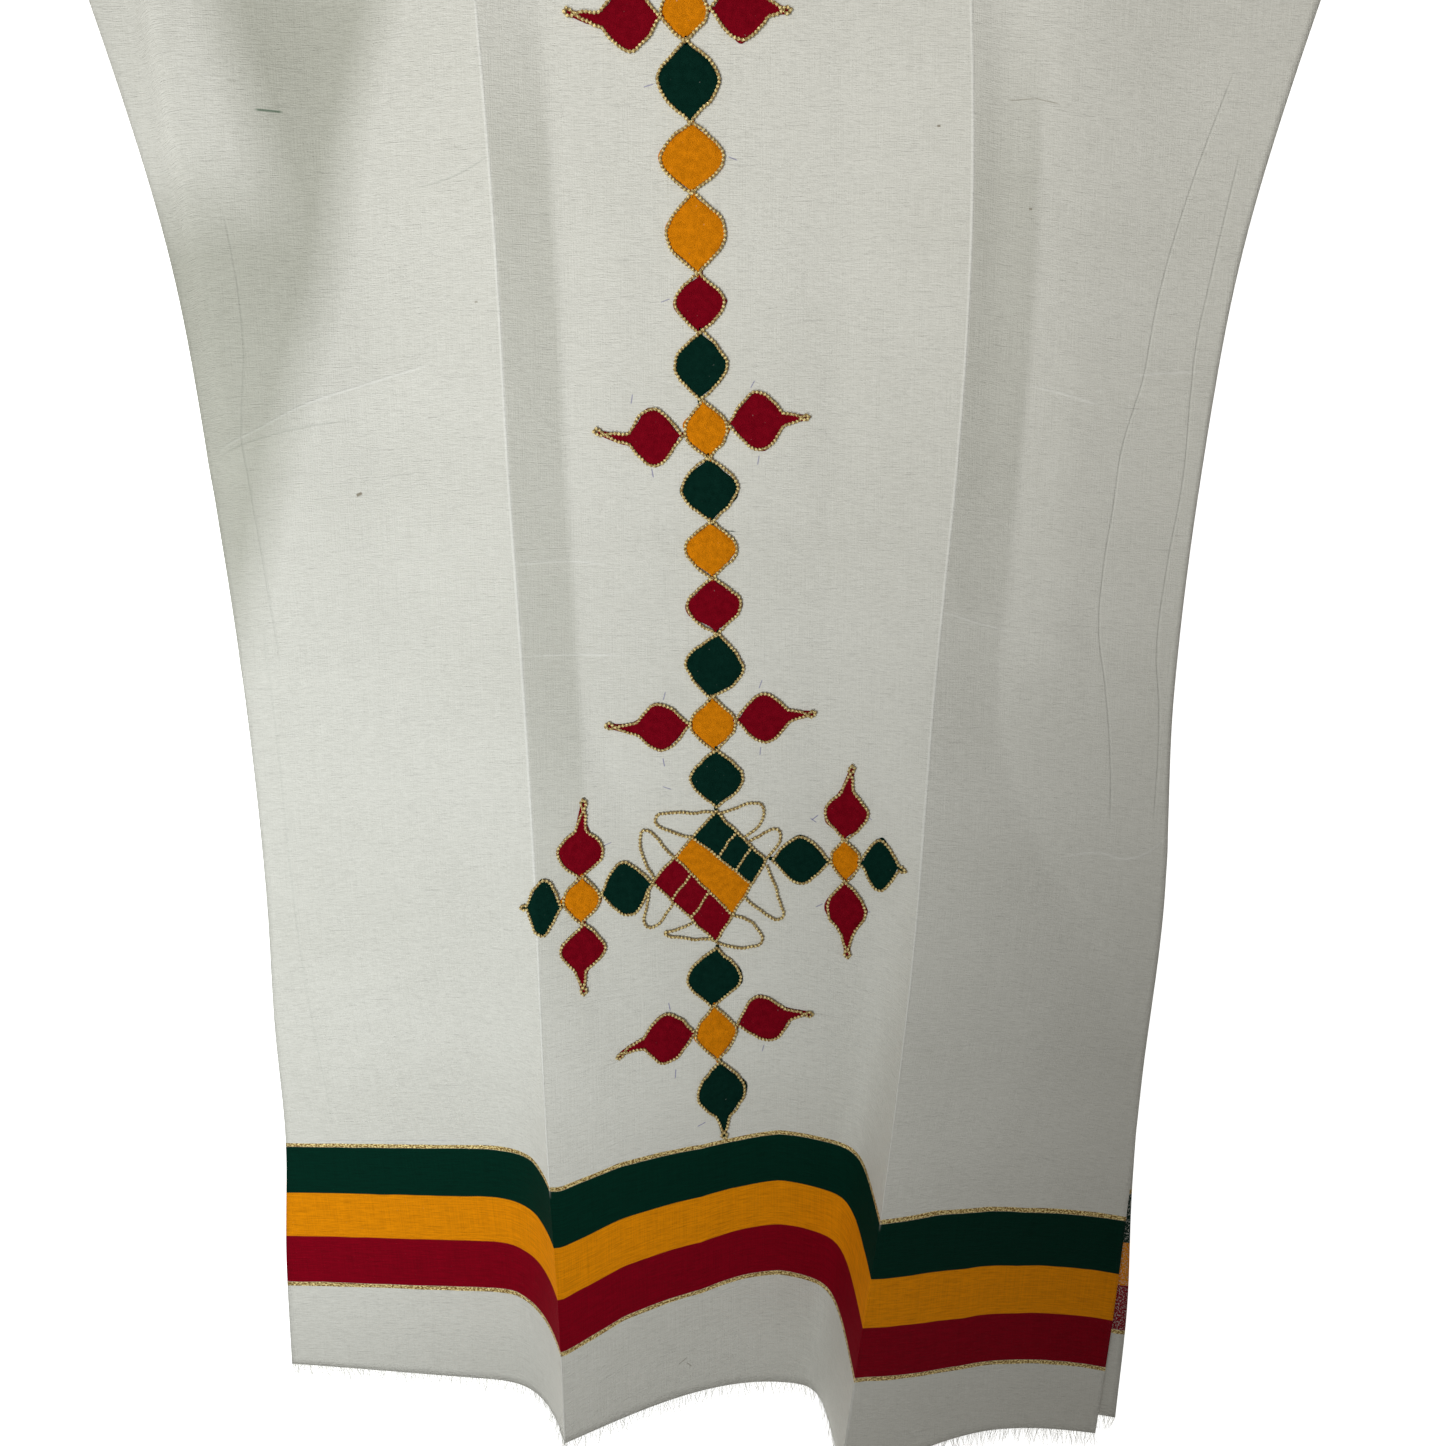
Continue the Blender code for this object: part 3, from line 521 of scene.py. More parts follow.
def cotton_paint(name, banded, wrong_side=False, pressed=False):
    """Handwoven cotton: uneven weft threads, slubs and specks, with the woven band and the marks of a piece; the band's
    gold lines get painted glints, and a pressed piece gets painted shade and painted highlights along its creases and
    lines and a band of painted shade on the left.
    """
    paint = Paint(name)
    u, v = paint.uv()
    wander = paint.noise(u, v, *WEAVE["wander"]) - 0.5
    weft = paint.noise(u, v + wander * 0.003, *WEAVE["weft"]) - 0.5
    fine = paint.noise(u, v + wander * 0.003, *WEAVE["fine"]) - 0.5
    slub = paint.noise(u, v + wander * 0.006, *WEAVE["slub"])
    thick = slub.step(0.64, 0.74)
    thin = slub.step(0.36, 0.27)
    warp = paint.noise(u, v, *WEAVE["warp"]) - 0.5
    cloudy = paint.noise(u, v, *WEAVE["cloudy"])
    grain = paint.noise(u, v, *WEAVE["grain"]) - 0.5
    shade = (cloudy.step(0.35, 0.75) * 0.35 + weft * 0.5 + fine * 1.2 + warp * 0.6 + grain * 1.0 + thin * 0.10
             - thick * 0.10 + 0.10).clipped()
    colour = paint.mix(shade, COTTON, COTTON_SHADE)
    height = weft * 0.5 + fine * 1.2 + thick * 0.35 - thin * 0.12 + warp * 0.5 + grain * 0.7
    metal = 0.0
    rough = COTTON_ROUGH
    if banded:
        wavy = v + (paint.noise(u, v, *WEAVE["border"]) - 0.5) * 0.0011
        band = COTTON
        for stripe, low in STRIPES:
            dark = tuple(c * STRIPE_DARK for c in WOVEN[stripe])
            woven = paint.mix((weft * 1.6 + fine * 1.2 + warp * 1.0 + 0.35).clipped(), WOVEN[stripe], dark)
            if wrong_side:
                fleck = paint.noise(u, v, *WEAVE["fleck"]).step(0.50, 0.66)
                woven = paint.mix(fleck * 0.6, woven, COTTON)
            band = paint.mix(wavy.step(low - STRIPE_SOFT, low + STRIPE_SOFT), band, woven)
        colour = paint.mix(paint.between(wavy, BAND_FOOT, BAND_TOP, STRIPE_SOFT), colour, band)
        # Painted glints on the gold lines of the band
        glitter = paint.noise(u, v, *WEAVE["glitter"]).step(0.42, 0.60)
        gold = paint.mix(glitter, GOLD_DARK, GOLD)
        lines = 0.0
        for low, high in GOLD_LINES:
            lines = lines + paint.between(wavy, low, high, GOLD_SOFT)
        colour = paint.mix(lines, colour, gold)
        metal = lines * 0.45
        rough = COTTON_ROUGH - lines * 0.5
    if pressed:
        middle_v = v - 0.5
        # Painted highlight on the creases' ridge lines, left off over the woven band
        ridge_highlight_span = v.step(0.19, 0.21) + v.step(0.08, 0.07)
        for places, depth, half in UP_LINES:
            pressed_in = paint.line(u, middle_v, [(up - 0.5, run) for up, run in places], half)
            height = height + pressed_in * depth
            # Painted shade along each pressed line's groove
            colour = paint.mix(pressed_in * 0.25, colour, COTTON_PAINTED_SHADE)
        for places, depth, half in CROSS_LINES:
            pressed_in = paint.line(middle_v, u, [(run, up - 0.5) for run, up in places], half)
            height = height + pressed_in * depth * 0.7
            # Painted highlight along raised lines, painted shade along pressed-in ones
            colour = paint.mix(pressed_in * 0.55, colour, COTTON_PALE if depth > 0 else COTTON_PAINTED_SHADE)
        for span, wide, start in CREASE_SIDES:
            places = [(up, front_row(up)["spans"][span]) for up in CREASE_LINE_UP]
            spots = [(up - 0.5, run) for up, run in places]
            ridge = paint.line(u, middle_v, spots, 0.0014)
            height = height + ridge * 0.6
            # Painted highlight along the crease's ridge line
            colour = paint.mix(ridge * ridge_highlight_span * 0.7, colour, COTTON_PALE)
            # Painted shade in a strip right of the crease
            beside = u - paint.curve([(up, run + 0.5) for up, run in places], v) + 0.5
            painted_shade = (beside.step(0.0010, 0.0022) * beside.step(wide + 0.003, wide - 0.003) * v.step(start, start + 0.2)
                     * v.step(0.97, 0.88))
            colour = paint.mix(painted_shade * 0.30, colour, COTTON_PAINTED_SHADE, "MULTIPLY")
        # Painted shade: a darker band left of SHADOW_EDGE, paler again at its top-left corner
        edge = paint.curve([(up, run + 0.5) for up, run in SHADOW_EDGE], v) - 0.5
        corner = v.step(0.84, 0.90) * (u + v * 0.25 - 0.225).step(-0.265, -0.300)
        painted_shade = (edge - u).step(-0.010, 0.022) * v.step(0.54, 0.66) * v.step(1.04, 0.98) * (1.0 - corner)
        colour = paint.mix(painted_shade * 0.72, colour, COTTON_PAINTED_SHADE, "MULTIPLY")
        marks = [(*tick, TICK_HALF, PEN) for tick in PEN_TICKS] + list(MARKS)
        for run, up, turn, half_long, strength, half_wide, ink in marks:
            colour = paint.mix(paint.stroke(u, v, run, up, turn, half_long, half_wide) * strength, colour, ink)
    paint.give(Base_Color=colour, Roughness=rough, Metallic=metal, Specular_IOR_Level=0.06,
               Normal=paint.bump(height, COTTON_BUMP))
    return paint.material


def felt_paint(name, colour):
    """Matt felt with short, uneven hair and a little white lint."""
    paint = Paint(name)
    at = paint.place()
    hair = paint.grain(at, 1500.0, 3.0)
    patch = paint.grain(at, 240.0, 2.0)
    lint = paint.grain(at, 520.0, 1.0).step(0.78, 0.86)
    shade = (hair * 1.3 + patch * 0.9 - 0.6).clipped()
    dark = tuple(c * 0.55 for c in colour)
    light = tuple(min(1.0, c * 1.25 + 0.003) for c in colour)
    fuzzy = paint.mix(lint * 0.22, paint.mix(shade, dark, light), COTTON)
    paint.give(Base_Color=fuzzy, Roughness=0.96, Specular_IOR_Level=0.03, Normal=paint.bump(hair, 0.0009))
    return paint.material


def gold_paint():
    """Twisted metallic thread with painted light: a painted highlight, pale, on each stitch of the chain and at random
    glints, and painted shade, brown, between the stitches.
    """
    paint = Paint("gold_cord")
    at = paint.place()
    glint = paint.grain(at, 760.0, 2.0)
    grain = paint.grain(at, 2600.0, 1.0)
    along = paint.node("ShaderNodeAttribute", {"attribute_name": "along"}, out=2)
    bead = ((along + glint * 0.0022) * (math.tau / CORD_BEAD)).maths("SINE", 0.0) * 0.5 + 0.5
    bright = (bead * bead * 0.9 + glint * 0.6 + grain * 0.5 - 0.42).clipped()
    paint.give(Base_Color=paint.mix(bright, GOLD_DARK, GOLD), Metallic=0.2, Roughness=0.38,
               Normal=paint.bump(grain, 0.0004))
    return paint.material


def thread_paint():
    """Loose cotton threads of the frayed edges."""
    paint = Paint("cotton_thread")
    fuzz = paint.grain(paint.place(), 900.0, 2.0)
    paint.give(Base_Color=paint.mix(fuzz, COTTON, COTTON_PALE), Roughness=0.9)
    return paint.material


# Cloth

def grid_piece(name, points, uvs, material, wall):
    """A sheet of cloth from rows of points, with a map of where each point is on the cloth."""
    rows, columns = len(points), len(points[0])
    mesh = bpy.data.meshes.new(name)
    faces = [(j * columns + i, j * columns + i + 1, (j + 1) * columns + i + 1, (j + 1) * columns + i)
             for j in range(rows - 1) for i in range(columns - 1)]
    mesh.from_pydata([point for row in points for point in row], [], faces)
    layer = mesh.uv_layers.new(name=CLOTH_MAP)
    flat = np.array([uv for row in uvs for uv in row], float)
    corners = np.empty(len(mesh.loops), int)
    mesh.loops.foreach_get("vertex_index", corners)
    layer.data.foreach_set("uv", flat[corners].ravel())
    mesh.polygons.foreach_set("use_smooth", [True] * len(mesh.polygons))
    return finish_piece(name, mesh, material, wall)


def placed(name, data):
    """A new object of the scene."""
    made = bpy.data.objects.new(name, data)
    bpy.context.scene.collection.objects.link(made)
    return made


def finish_piece(name, mesh, material, wall=0.0):
    mesh.materials.append(material)
    piece = placed(name, mesh)
    if wall:
        shell = piece.modifiers.new("wall", "SOLIDIFY")
        shell.thickness = wall
        shell.offset = -1.0
    return piece


def steps(end, size):
    count = round(end / size)
    return [end * k / count for k in range(count + 1)]


def woven_place(run, up):
    """Where a point of the front is on the cloth, with the band's own slant in it."""
    if up > BAND_FADE:
        return run, up
    below = (BAND_HIGH - max(min(up, BAND_HIGH), BAND_LOW)) / (BAND_HIGH - BAND_LOW)
    lower = float(np.interp(run, BAND_RUNS, BAND_SHIFT) + np.interp(run, BAND_RUNS, BAND_STRETCH) * below)
    return run, up + lower * (1 - float(ease(up, BAND_HIGH + 0.01, BAND_FADE)))


def front_cloth(material):
    columns = front_columns()
    places = [[front_place(column, row) for column in columns] for row in steps(LENGTH, ROW_STEP)]
    points = [[point for point, _ in row] for row in places]
    return grid_piece("front_cloth", points, [[woven_place(*uv) for _, uv in row] for row in places], material, CLOTH)


def back_cloth(material):
    shares = [2 * k / BACK_COLUMNS - 1 for k in range(BACK_COLUMNS + 1)]
    places = [[back_place(share, row) for share in shares] for row in steps(LENGTH, BACK_ROW_STEP)]
    points = [[point for point, _ in row] for row in places]
    return grid_piece("back_cloth", points, [[uv for _, uv in row] for row in places], material, CLOTH)


def sleeve_cloth(name, side, material):
    """A flattened sleeve, open at the armhole and the cuff."""
    shoulder = top_of_column(1.0, BACK_NECK_DEPTH)
    points = []
    uvs = []
    for k in range(2 * SLEEVE_STEPS + 1):
        turn = math.pi * k / SLEEVE_STEPS
        f = (1 - math.cos(turn)) / 2
        up = UNDERARM_UP + (shoulder - UNDERARM_UP) * f
        x = line("right_side", up) + GAP
        cuff_up = CUFF_LOW + (CUFF_HIGH - CUFF_LOW) * f
        z = FRONT_TOP * (0.5 + 0.5 * math.copysign(min(1.0, 3 * abs(math.sin(turn))), math.sin(turn)))
        row = []
        for i in range(SLEEVE_COLUMNS + 1):
            share = i / SLEEVE_COLUMNS
            row.append(Vector((side * (x + (CUFF_ACROSS - x) * share), HEM_Y + up + (cuff_up - up) * share, z)))
        points.append(row)
        uvs.append([(point.x, point.y + 3.0) for point in row])
    if side < 0:
        points.reverse()
        uvs.reverse()
    return grid_piece(name, points, uvs, material, CLOTH)


# Felt pieces: run and height up of the middle, half length, half width, the way the outer tip points in degrees from
# the dress's right, the length of the tail on that tip and the way that it points
LOZENGES = (
    # name, colour, run, up, half length, half width, turn, tail, tail turn
    ("cross_0_middle", "yellow", -0.013, 0.973, 0.0162, 0.0153, -90, 0.0, 0),
    ("cross_0_left", "red", -0.048, 0.969, 0.0190, 0.0190, -178, 0.019, 165),
    ("cross_0_right", "red", 0.023, 0.974, 0.0184, 0.0185, 1, 0.010, -10),
    ("column_green_1", "green", -0.011, 0.933, 0.0226, 0.0200, -87, 0.0, 0),
    ("column_yellow_1", "yellow", -0.009, 0.888, 0.0205, 0.0208, -89, 0.0, 0),
    ("column_yellow_2", "yellow", -0.007, 0.843, 0.0235, 0.0200, -87, 0.0, 0),
    ("column_red_1", "red", -0.005, 0.800, 0.0174, 0.0170, -91, 0.0, 0),
    ("column_green_2", "green", -0.004, 0.761, 0.0206, 0.0180, -91, 0.0, 0),
    ("cross_1_middle", "yellow", -0.001, 0.720, 0.0175, 0.0153, -85, 0.0, 0),
    ("cross_1_left", "red", -0.036, 0.715, 0.0177, 0.0190, -176, 0.019, 165),
    ("cross_1_right", "red", 0.034, 0.725, 0.0187, 0.0194, 3, 0.013, 5),
    ("column_green_3", "green", 0.001, 0.681, 0.0205, 0.0195, -88, 0.0, 0),
    ("column_yellow_3", "yellow", 0.002, 0.641, 0.0178, 0.0178, -90, 0.0, 0),
    ("column_red_2", "red", 0.004, 0.603, 0.0182, 0.0190, -86, 0.0, 0),
    ("column_green_4", "green", 0.004, 0.561, 0.0220, 0.0205, -97, 0.0, 0),
    ("cross_2_middle", "yellow", 0.003, 0.520, 0.0182, 0.0162, -88, 0.0, 0),
    ("cross_2_left", "red", -0.034, 0.518, 0.0192, 0.0173, -176, 0.017, 172),
    ("cross_2_right", "red", 0.039, 0.524, 0.0189, 0.0180, 4, 0.015, 6),
    ("column_green_5", "green", 0.005, 0.480, 0.0206, 0.0188, -90, 0.0, 0),
    ("column_green_6", "green", 0.003, 0.324, 0.0226, 0.0205, -93, 0.0, 0),
    ("cross_3_middle", "yellow", 0.004, 0.279, 0.0212, 0.0155, -86, 0.0, 0),
    ("cross_3_left", "red", -0.032, 0.280, 0.0195, 0.0200, -178, 0.017, -162),
    ("cross_3_right", "red", 0.040, 0.290, 0.0200, 0.0195, 16, 0.014, 10),
    ("column_green_7", "green", 0.008, 0.230, 0.0243, 0.0184, -87, 0.013, -87),
    ("arm_right_green", "green", 0.065, 0.419, 0.0192, 0.0183, 1, 0.0, 0),
    ("arm_right_middle", "yellow", 0.097, 0.421, 0.0147, 0.0113, -86, 0.0, 0),
    ("arm_right_up", "red", 0.097, 0.455, 0.0181, 0.0162, 88, 0.015, 77),
    ("arm_right_down", "red", 0.098, 0.384, 0.0205, 0.0145, -88, 0.014, -85),
    ("arm_right_end", "green", 0.122, 0.420, 0.0129, 0.0190, 1, 0.004, -10),
    ("arm_left_green", "green", -0.060, 0.399, 0.0172, 0.0208, -172, 0.0, 0),
    ("arm_left_middle", "yellow", -0.092, 0.394, 0.0160, 0.0136, -91, 0.0, 0),
    ("arm_left_up", "red", -0.092, 0.429, 0.0178, 0.0170, 87, 0.018, 84),
    ("arm_left_down", "red", -0.092, 0.358, 0.0170, 0.0163, -94, 0.014, -84),
    ("arm_left_end", "green", -0.119, 0.392, 0.0113, 0.0206, 176, 0.004, -170),
)
SIDE_POWER = 1.15
TAIL_HALF = 0.0016
LONG_TAIL = 0.006  # from this length a tail narrows bit by bit
TAIL_NECK = 0.0040  # half width of the felt where a tail starts
GREEN_ENDS, YELLOW_ENDS = (0.37, 0.28), (0.65, 0.66)  # where a band ends, as shares of the left and right sides
SQUARE = {"top": (0.0047, 0.4552), "right": (0.0404, 0.4178), "bottom": (0.0043, 0.3519), "left": (-0.0416, 0.4026)}
BANDS = (
    # name, colour, start and end: shares of the side from top to left and of the side from right to bottom
    ("square_green", "green", (0.0, 0.0), GREEN_ENDS),
    ("square_yellow", "yellow", GREEN_ENDS, YELLOW_ENDS),
    ("square_red", "red", YELLOW_ENDS, (1.0, 1.0)),
)
FELT_THICK = 0.0012
FELT_LIFT = 0.0002
FELT_STATIONS = 30
FELT_SECTION = ((-1.0, 0.0), (-1.0, 0.55), (-0.93, 0.92), (-0.5, 1.0), (0.0, 1.0), (0.5, 1.0), (0.93, 0.92),
                (1.0, 0.55), (1.0, 0.0), (0.4, 0.0), (-0.4, 0.0))  # across and height, as shares
STUB = 0.0034  # how far a felt piece runs on past its pointed tip, as a blunt end
STUB_HALF = 0.0013
CORD_INSIDE = 0.0007  # how far the cord lies inside a felt piece's edge
CORD_LIFT = 0.0016  # height of the cord's middle above the cloth
CORD_RADIUS = 0.00125
CORD_SLIM = 0.50  # how much thinner the twisted cord is one way than the other
CORD_BEAD = 0.0029  # length of one stitch of the chain that the cord makes
CORD_PITCH = 0.0050  # length of one full turn
CORD_STEP = 0.00048
CORD_STRAY = (0.0034, 0.0034, 0.0)  # how far the cord strays from its line
OUTLINE_POINTS = 44


def in_place(run, up, turn, along, aside):
    """Run and height up of a point given along and across a piece."""
    cos, sin = math.cos(turn), math.sin(turn)
    return run + along * cos - aside * sin, up + along * sin + aside * cos


def half_width(f, half_wide):
    return half_wide * max(0.0, math.cos(math.pi * f / 2)) ** SIDE_POWER


def felt_stations(half_long, half_wide, tail, bend, rng):
    """Sections of a hand-cut lozenge from its inner tip to its outer one: distance along, then both edges aside."""
    leans = rng.uniform(-0.0010, 0.0010, 2)
    waves = rng.uniform(-1.0, 1.0, (2, 3)) * (0.0010, 0.0010, 0.0008)
    phases = rng.uniform(0.0, math.tau, (2, 3))
    stations = [(-half_long - STUB, leans[0], STUB_HALF * 0.7), (-half_long - STUB * 0.7, leans[0], STUB_HALF)]
    sections = [(along, aside - half, aside + half) for along, aside, half in stations]
    neck = TAIL_NECK if tail > LONG_TAIL else STUB_HALF
    for k in range(FELT_STATIONS + 1):
        f = 2 * k / FELT_STATIONS - 1
        middle = leans[0 if f < 0 else 1] * abs(f) ** 6
        edges = []
        for side in (0, 1):
            wobble = sum(waves[side][n] * math.sin((n + 1) * math.pi * f + phases[side][n]) for n in range(3))
            least = neck + (1 - f) * 0.012 if tail > LONG_TAIL and f > 0.5 else STUB_HALF
            edges.append(max(half_width(f, half_wide) + wobble * (1 - f ** 4), least))
        sections.append((half_long * f, middle - edges[0], middle + edges[1]))
    if tail:
        for share in (0.15, 0.35, 0.55, 0.75, 0.9, 1.0):
            middle = tail_middle(tail * share, tail, bend)
            half = (neck + (TAIL_HALF - neck) * share) * (1.0 if share < 0.95 else 0.6)
            sections.append((half_long + tail * share, middle - half, middle + half))
    else:
        sections += [(half_long + STUB * 0.7, leans[1] - STUB_HALF, leans[1] + STUB_HALF),
                     (half_long + STUB, leans[1] - STUB_HALF * 0.7, leans[1] + STUB_HALF * 0.7)]
    return sections


def tail_middle(away, tail, bend):
    """How far aside a tail's middle lies: it curves off as it goes."""
    return math.tan(bend) * away * (0.6 + 0.4 * away / tail)


def felt_mesh(name, sections):
    """A felt piece from sections, each a list of run, up and share of the thickness, joined end to end."""
    bm = bmesh.new()
    loops = [[bm.verts.new(over_front(run, up, FELT_LIFT + FELT_THICK * share)) for run, up, share in section]
             for section in sections]
    for near, far in zip(loops, loops[1:]):
        for a in range(len(near)):
            b = (a + 1) % len(near)
            bm.faces.new((near[a], near[b], far[b], far[a]))
    bm.faces.new(loops[0])
    bm.faces.new(loops[-1])
    bmesh.ops.recalc_face_normals(bm, faces=bm.faces)
    mesh = bpy.data.meshes.new(name)
    bm.to_mesh(mesh)
    bm.free()
    mesh.polygons.foreach_set("use_smooth", [True] * len(mesh.polygons))
    return mesh


def lozenge_felt(name, run, up, half_long, half_wide, turn, tail, bend, rng):
    sections = []
    for along, low, high in felt_stations(half_long, half_wide, tail, bend, rng):
        aside = [(low + high) / 2 + across * (high - low) / 2 for across, _ in FELT_SECTION]
        sections.append([(*in_place(run, up, turn, along, out), share)
                         for out, (_, share) in zip(aside, FELT_SECTION)])
    return felt_mesh(name + "_felt", sections)


def band_border(ends):
    """The two ends of a border between bands of the big square."""
    top, right, bottom, left = (Vector(SQUARE[corner]) for corner in ("top", "right", "bottom", "left"))
    return top.lerp(left, ends[0]), right.lerp(bottom, ends[1])


def band_felt(name, near_start, far_start, near_end, far_end):
    """A band of the big square, from its end on one slanting side to its end on the other."""
    sections = []
    for k in range(FELT_STATIONS + 1):
        start = near_start.lerp(far_start, k / FELT_STATIONS)
        end = near_end.lerp(far_end, k / FELT_STATIONS)
        sections.append([(*start.lerp(end, (across + 1) / 2), share) for across, share in FELT_SECTION])
    return felt_mesh(name + "_felt", sections)


def cord_outline(half_long, half_wide, tail, bend):
    """The cord's way round a lozenge: past its tips, so that it crosses the next piece's cord, and round its tail."""
    long = half_long + 0.0016
    side = [(long * (2 * k / OUTLINE_POINTS - 1), half_width(2 * k / OUTLINE_POINTS - 1, half_wide - CORD_INSIDE))
            for k in range(1, OUTLINE_POINTS)]
    if not tail:
        return [(-long, 0.0)] + [(a, -w) for a, w in side] + [(long, 0.0)] + [(a, w) for a, w in reversed(side)]
    neck = TAIL_NECK * 0.8 if tail > LONG_TAIL else -0.0012
    side = [(a, max(w, neck + (1 - a / half_long) * 0.011) if a > half_long / 2 and neck > 0 else w)
            for a, w in side if a < half_long * 0.97]
    low, high = [(a, -w) for a, w in side], [(a, w) for a, w in side]
    ends = ((0.2, 0.9), (0.5, 0.6), (0.72, 0.1), (0.86, -0.5), (1.0, -0.62)) if neck > 0 else ((0.3, 1.0), (0.8, 1.4))
    for share, half in ends:
        middle = tail_middle(tail * share, tail, bend)
        low.append((half_long + tail * share, middle - abs(neck) * half))
        high.append((half_long + tail * share, middle + abs(neck) * half))
    return [(-long, 0.0)] + low + [(half_long + tail + 0.0022, math.tan(bend) * tail)] + high[::-1]


def on_cloth_path(path, lift):
    """A path of runs and heights up the cloth, with its points close together, laid over the front."""
    points = []
    for (run, up), (next_run, next_up) in zip(path, path[1:]):
        count = max(1, round(math.hypot(next_run - run, next_up - up) / 0.0012))
        for k in range(count):
            f = k / count
            points.append(over_front(run + (next_run - run) * f, up + (next_up - up) * f, lift))
    points.append(over_front(*path[-1], lift))
    return points


def bent(points, closed=False):
    """A smooth path through given points."""
    count = len(points)
    ends = [points[0], *points, points[-1]] if not closed else [points[-1], *points, points[0], points[1]]
    path = []
    for k in range(count if closed else count - 1):
        p0, p1, p2, p3 = (Vector(point) for point in ends[k:k + 4])
        for step in range(6):
            f = step / 6
            path.append(tuple(p1 + (p2 - p0) * (f / 2) + (p0 * 2 - p1 * 5 + p2 * 4 - p3) * (f * f / 2)
                              + (p1 * 3 - p0 - p2 * 3 + p3) * (f ** 3 / 2)))
    path.append(tuple(points[0] if closed else points[-1]))
    return path


def socket_of(tree, name):
    return next(item.identifier for item in tree.interface.items_tree if item.name == name)


class Growth:
    """A Geometry Nodes tree being made, with named inputs and one way to add a node."""

    def __init__(self, name, numbers, others):
        self.tree = bpy.data.node_groups.new(name, "GeometryNodeTree")
        self.tree.interface.new_socket("Geometry", in_out="INPUT", socket_type="NodeSocketGeometry")
        self.tree.interface.new_socket("Geometry", in_out="OUTPUT", socket_type="NodeSocketGeometry")
        for socket, kind in {**dict.fromkeys(numbers, "NodeSocketFloat"), **others}.items():
            self.tree.interface.new_socket(socket, in_out="INPUT", socket_type=kind)
        self.start = self.tree.nodes.new("NodeGroupInput")
        self.end = self.tree.nodes.new("NodeGroupOutput")

    def given(self, name):
        return self.start.outputs[name]

    def node(self, kind, settings, values, out=0):
        made = self.tree.nodes.new(kind)
        for name, setting in settings.items():
            setattr(made, name, setting)
        for key, value in values.items():
            if isinstance(value, bpy.types.NodeSocket):
                self.tree.links.new(value, made.inputs[key])
            else:
                made.inputs[key].default_value = value
        return made.outputs[out]

    def maths(self, operation, a, b):
        return self.node("ShaderNodeMath", {"operation": operation}, {0: a, 1: b})

    def crinkle(self, scale):
        """Noise at each point, from -0.5 to 0.5 each way."""
        place = self.node("GeometryNodeInputPosition", {}, {})
        noise = self.node("ShaderNodeTexNoise", {}, {"Vector": place, "Scale": scale, "Detail": 1.0}, out=1)
        return self.node("ShaderNodeVectorMath", {"operation": "SUBTRACT"}, {0: noise, 1: (0.5, 0.5, 0.5)})

    def marked(self, geometry, value):
        """The geometry with a number kept at each point under the name along."""
        return self.node("GeometryNodeStoreNamedAttribute", {"data_type": "FLOAT", "domain": "POINT"},
                         {"Geometry": geometry, "Name": "along", "Value": value})

    def close(self, geometry, material):
        plain = self.node("GeometryNodeRealizeInstances", {}, {"Geometry": geometry})
        painted = self.node("GeometryNodeSetMaterial", {}, {"Geometry": plain, "Material": material})
        self.tree.links.new(painted, self.end.inputs[0])

    def grow(self, piece, values):
        """The tree's result on a piece, as a plain mesh piece in its place."""
        made = piece.modifiers.new("growth", "NODES")
        made.node_group = self.tree
        for name, value in values.items():
            made[socket_of(self.tree, name)] = value
        bpy.context.view_layer.update()
        mesh = bpy.data.meshes.new_from_object(piece.evaluated_get(bpy.context.evaluated_depsgraph_get()))
        name = piece.name
        bpy.data.objects.remove(piece, do_unlink=True)
        mesh.name = name
        return placed(name, mesh)


def cord_growth(material):
    """Sweeps a flattened ring along each line and turns it as it goes, like a twisted two-ply cord."""
    growth = Growth("twisted_cord", numbers=("Radius", "Slim", "Pitch", "Step"), others={"Stray": "NodeSocketVector"})
    lines = growth.node("GeometryNodeMeshToCurve", {}, {"Mesh": growth.given("Geometry")})
    even = growth.node("GeometryNodeResampleCurve", {"mode": "LENGTH"},
                       {"Curve": lines, "Length": growth.given("Step")})
    length = growth.node("GeometryNodeSplineParameter", {}, {}, out=1)
    angle = growth.maths("MULTIPLY", growth.maths("DIVIDE", length, growth.given("Pitch")), math.tau)
    push = growth.node("ShaderNodeVectorMath", {"operation": "MULTIPLY"},
                       {0: growth.crinkle(90.0), 1: growth.given("Stray")})
    moved = growth.node("GeometryNodeSetPosition", {}, {"Geometry": even, "Offset": push})
    twisted = growth.node("GeometryNodeSetCurveTilt", {}, {"Curve": moved, "Tilt": angle})
    ring = growth.node("GeometryNodeCurvePrimitiveCircle", {}, {"Resolution": 8, "Radius": growth.given("Radius")})
    squash = growth.node("ShaderNodeCombineXYZ", {}, {"X": 1.0, "Y": growth.given("Slim"), "Z": 1.0})
    flat = growth.node("GeometryNodeTransform", {}, {"Geometry": ring, "Scale": squash})
    rope = growth.node("GeometryNodeCurveToMesh", {}, {"Curve": growth.marked(twisted, length), "Profile Curve": flat,
                                                            "Fill Caps": True})
    growth.close(rope, material)
    return growth


def line_piece(name, paths):
    """Plain lines of points, for a tree to grow on."""
    points = [point for path in paths for point in path]
    edges = []
    start = 0
    for path in paths:
        edges += [(start + k, start + k + 1) for k in range(len(path) - 1)]
        start += len(path)
    mesh = bpy.data.meshes.new(name)
    mesh.from_pydata(points, edges, [])
    return placed(name, mesh)


def cord_piece(name, paths, growth):
    laid = [on_cloth_path(path, CORD_LIFT) for path in paths]
    grown = growth.grow(line_piece(name, laid), {"Radius": CORD_RADIUS, "Slim": CORD_SLIM, "Pitch": CORD_PITCH,
                                                 "Step": CORD_STEP, "Stray": CORD_STRAY})
    grown.data.polygons.foreach_set("use_smooth", [True] * len(grown.data.polygons))
    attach(grown, "root")
    return grown


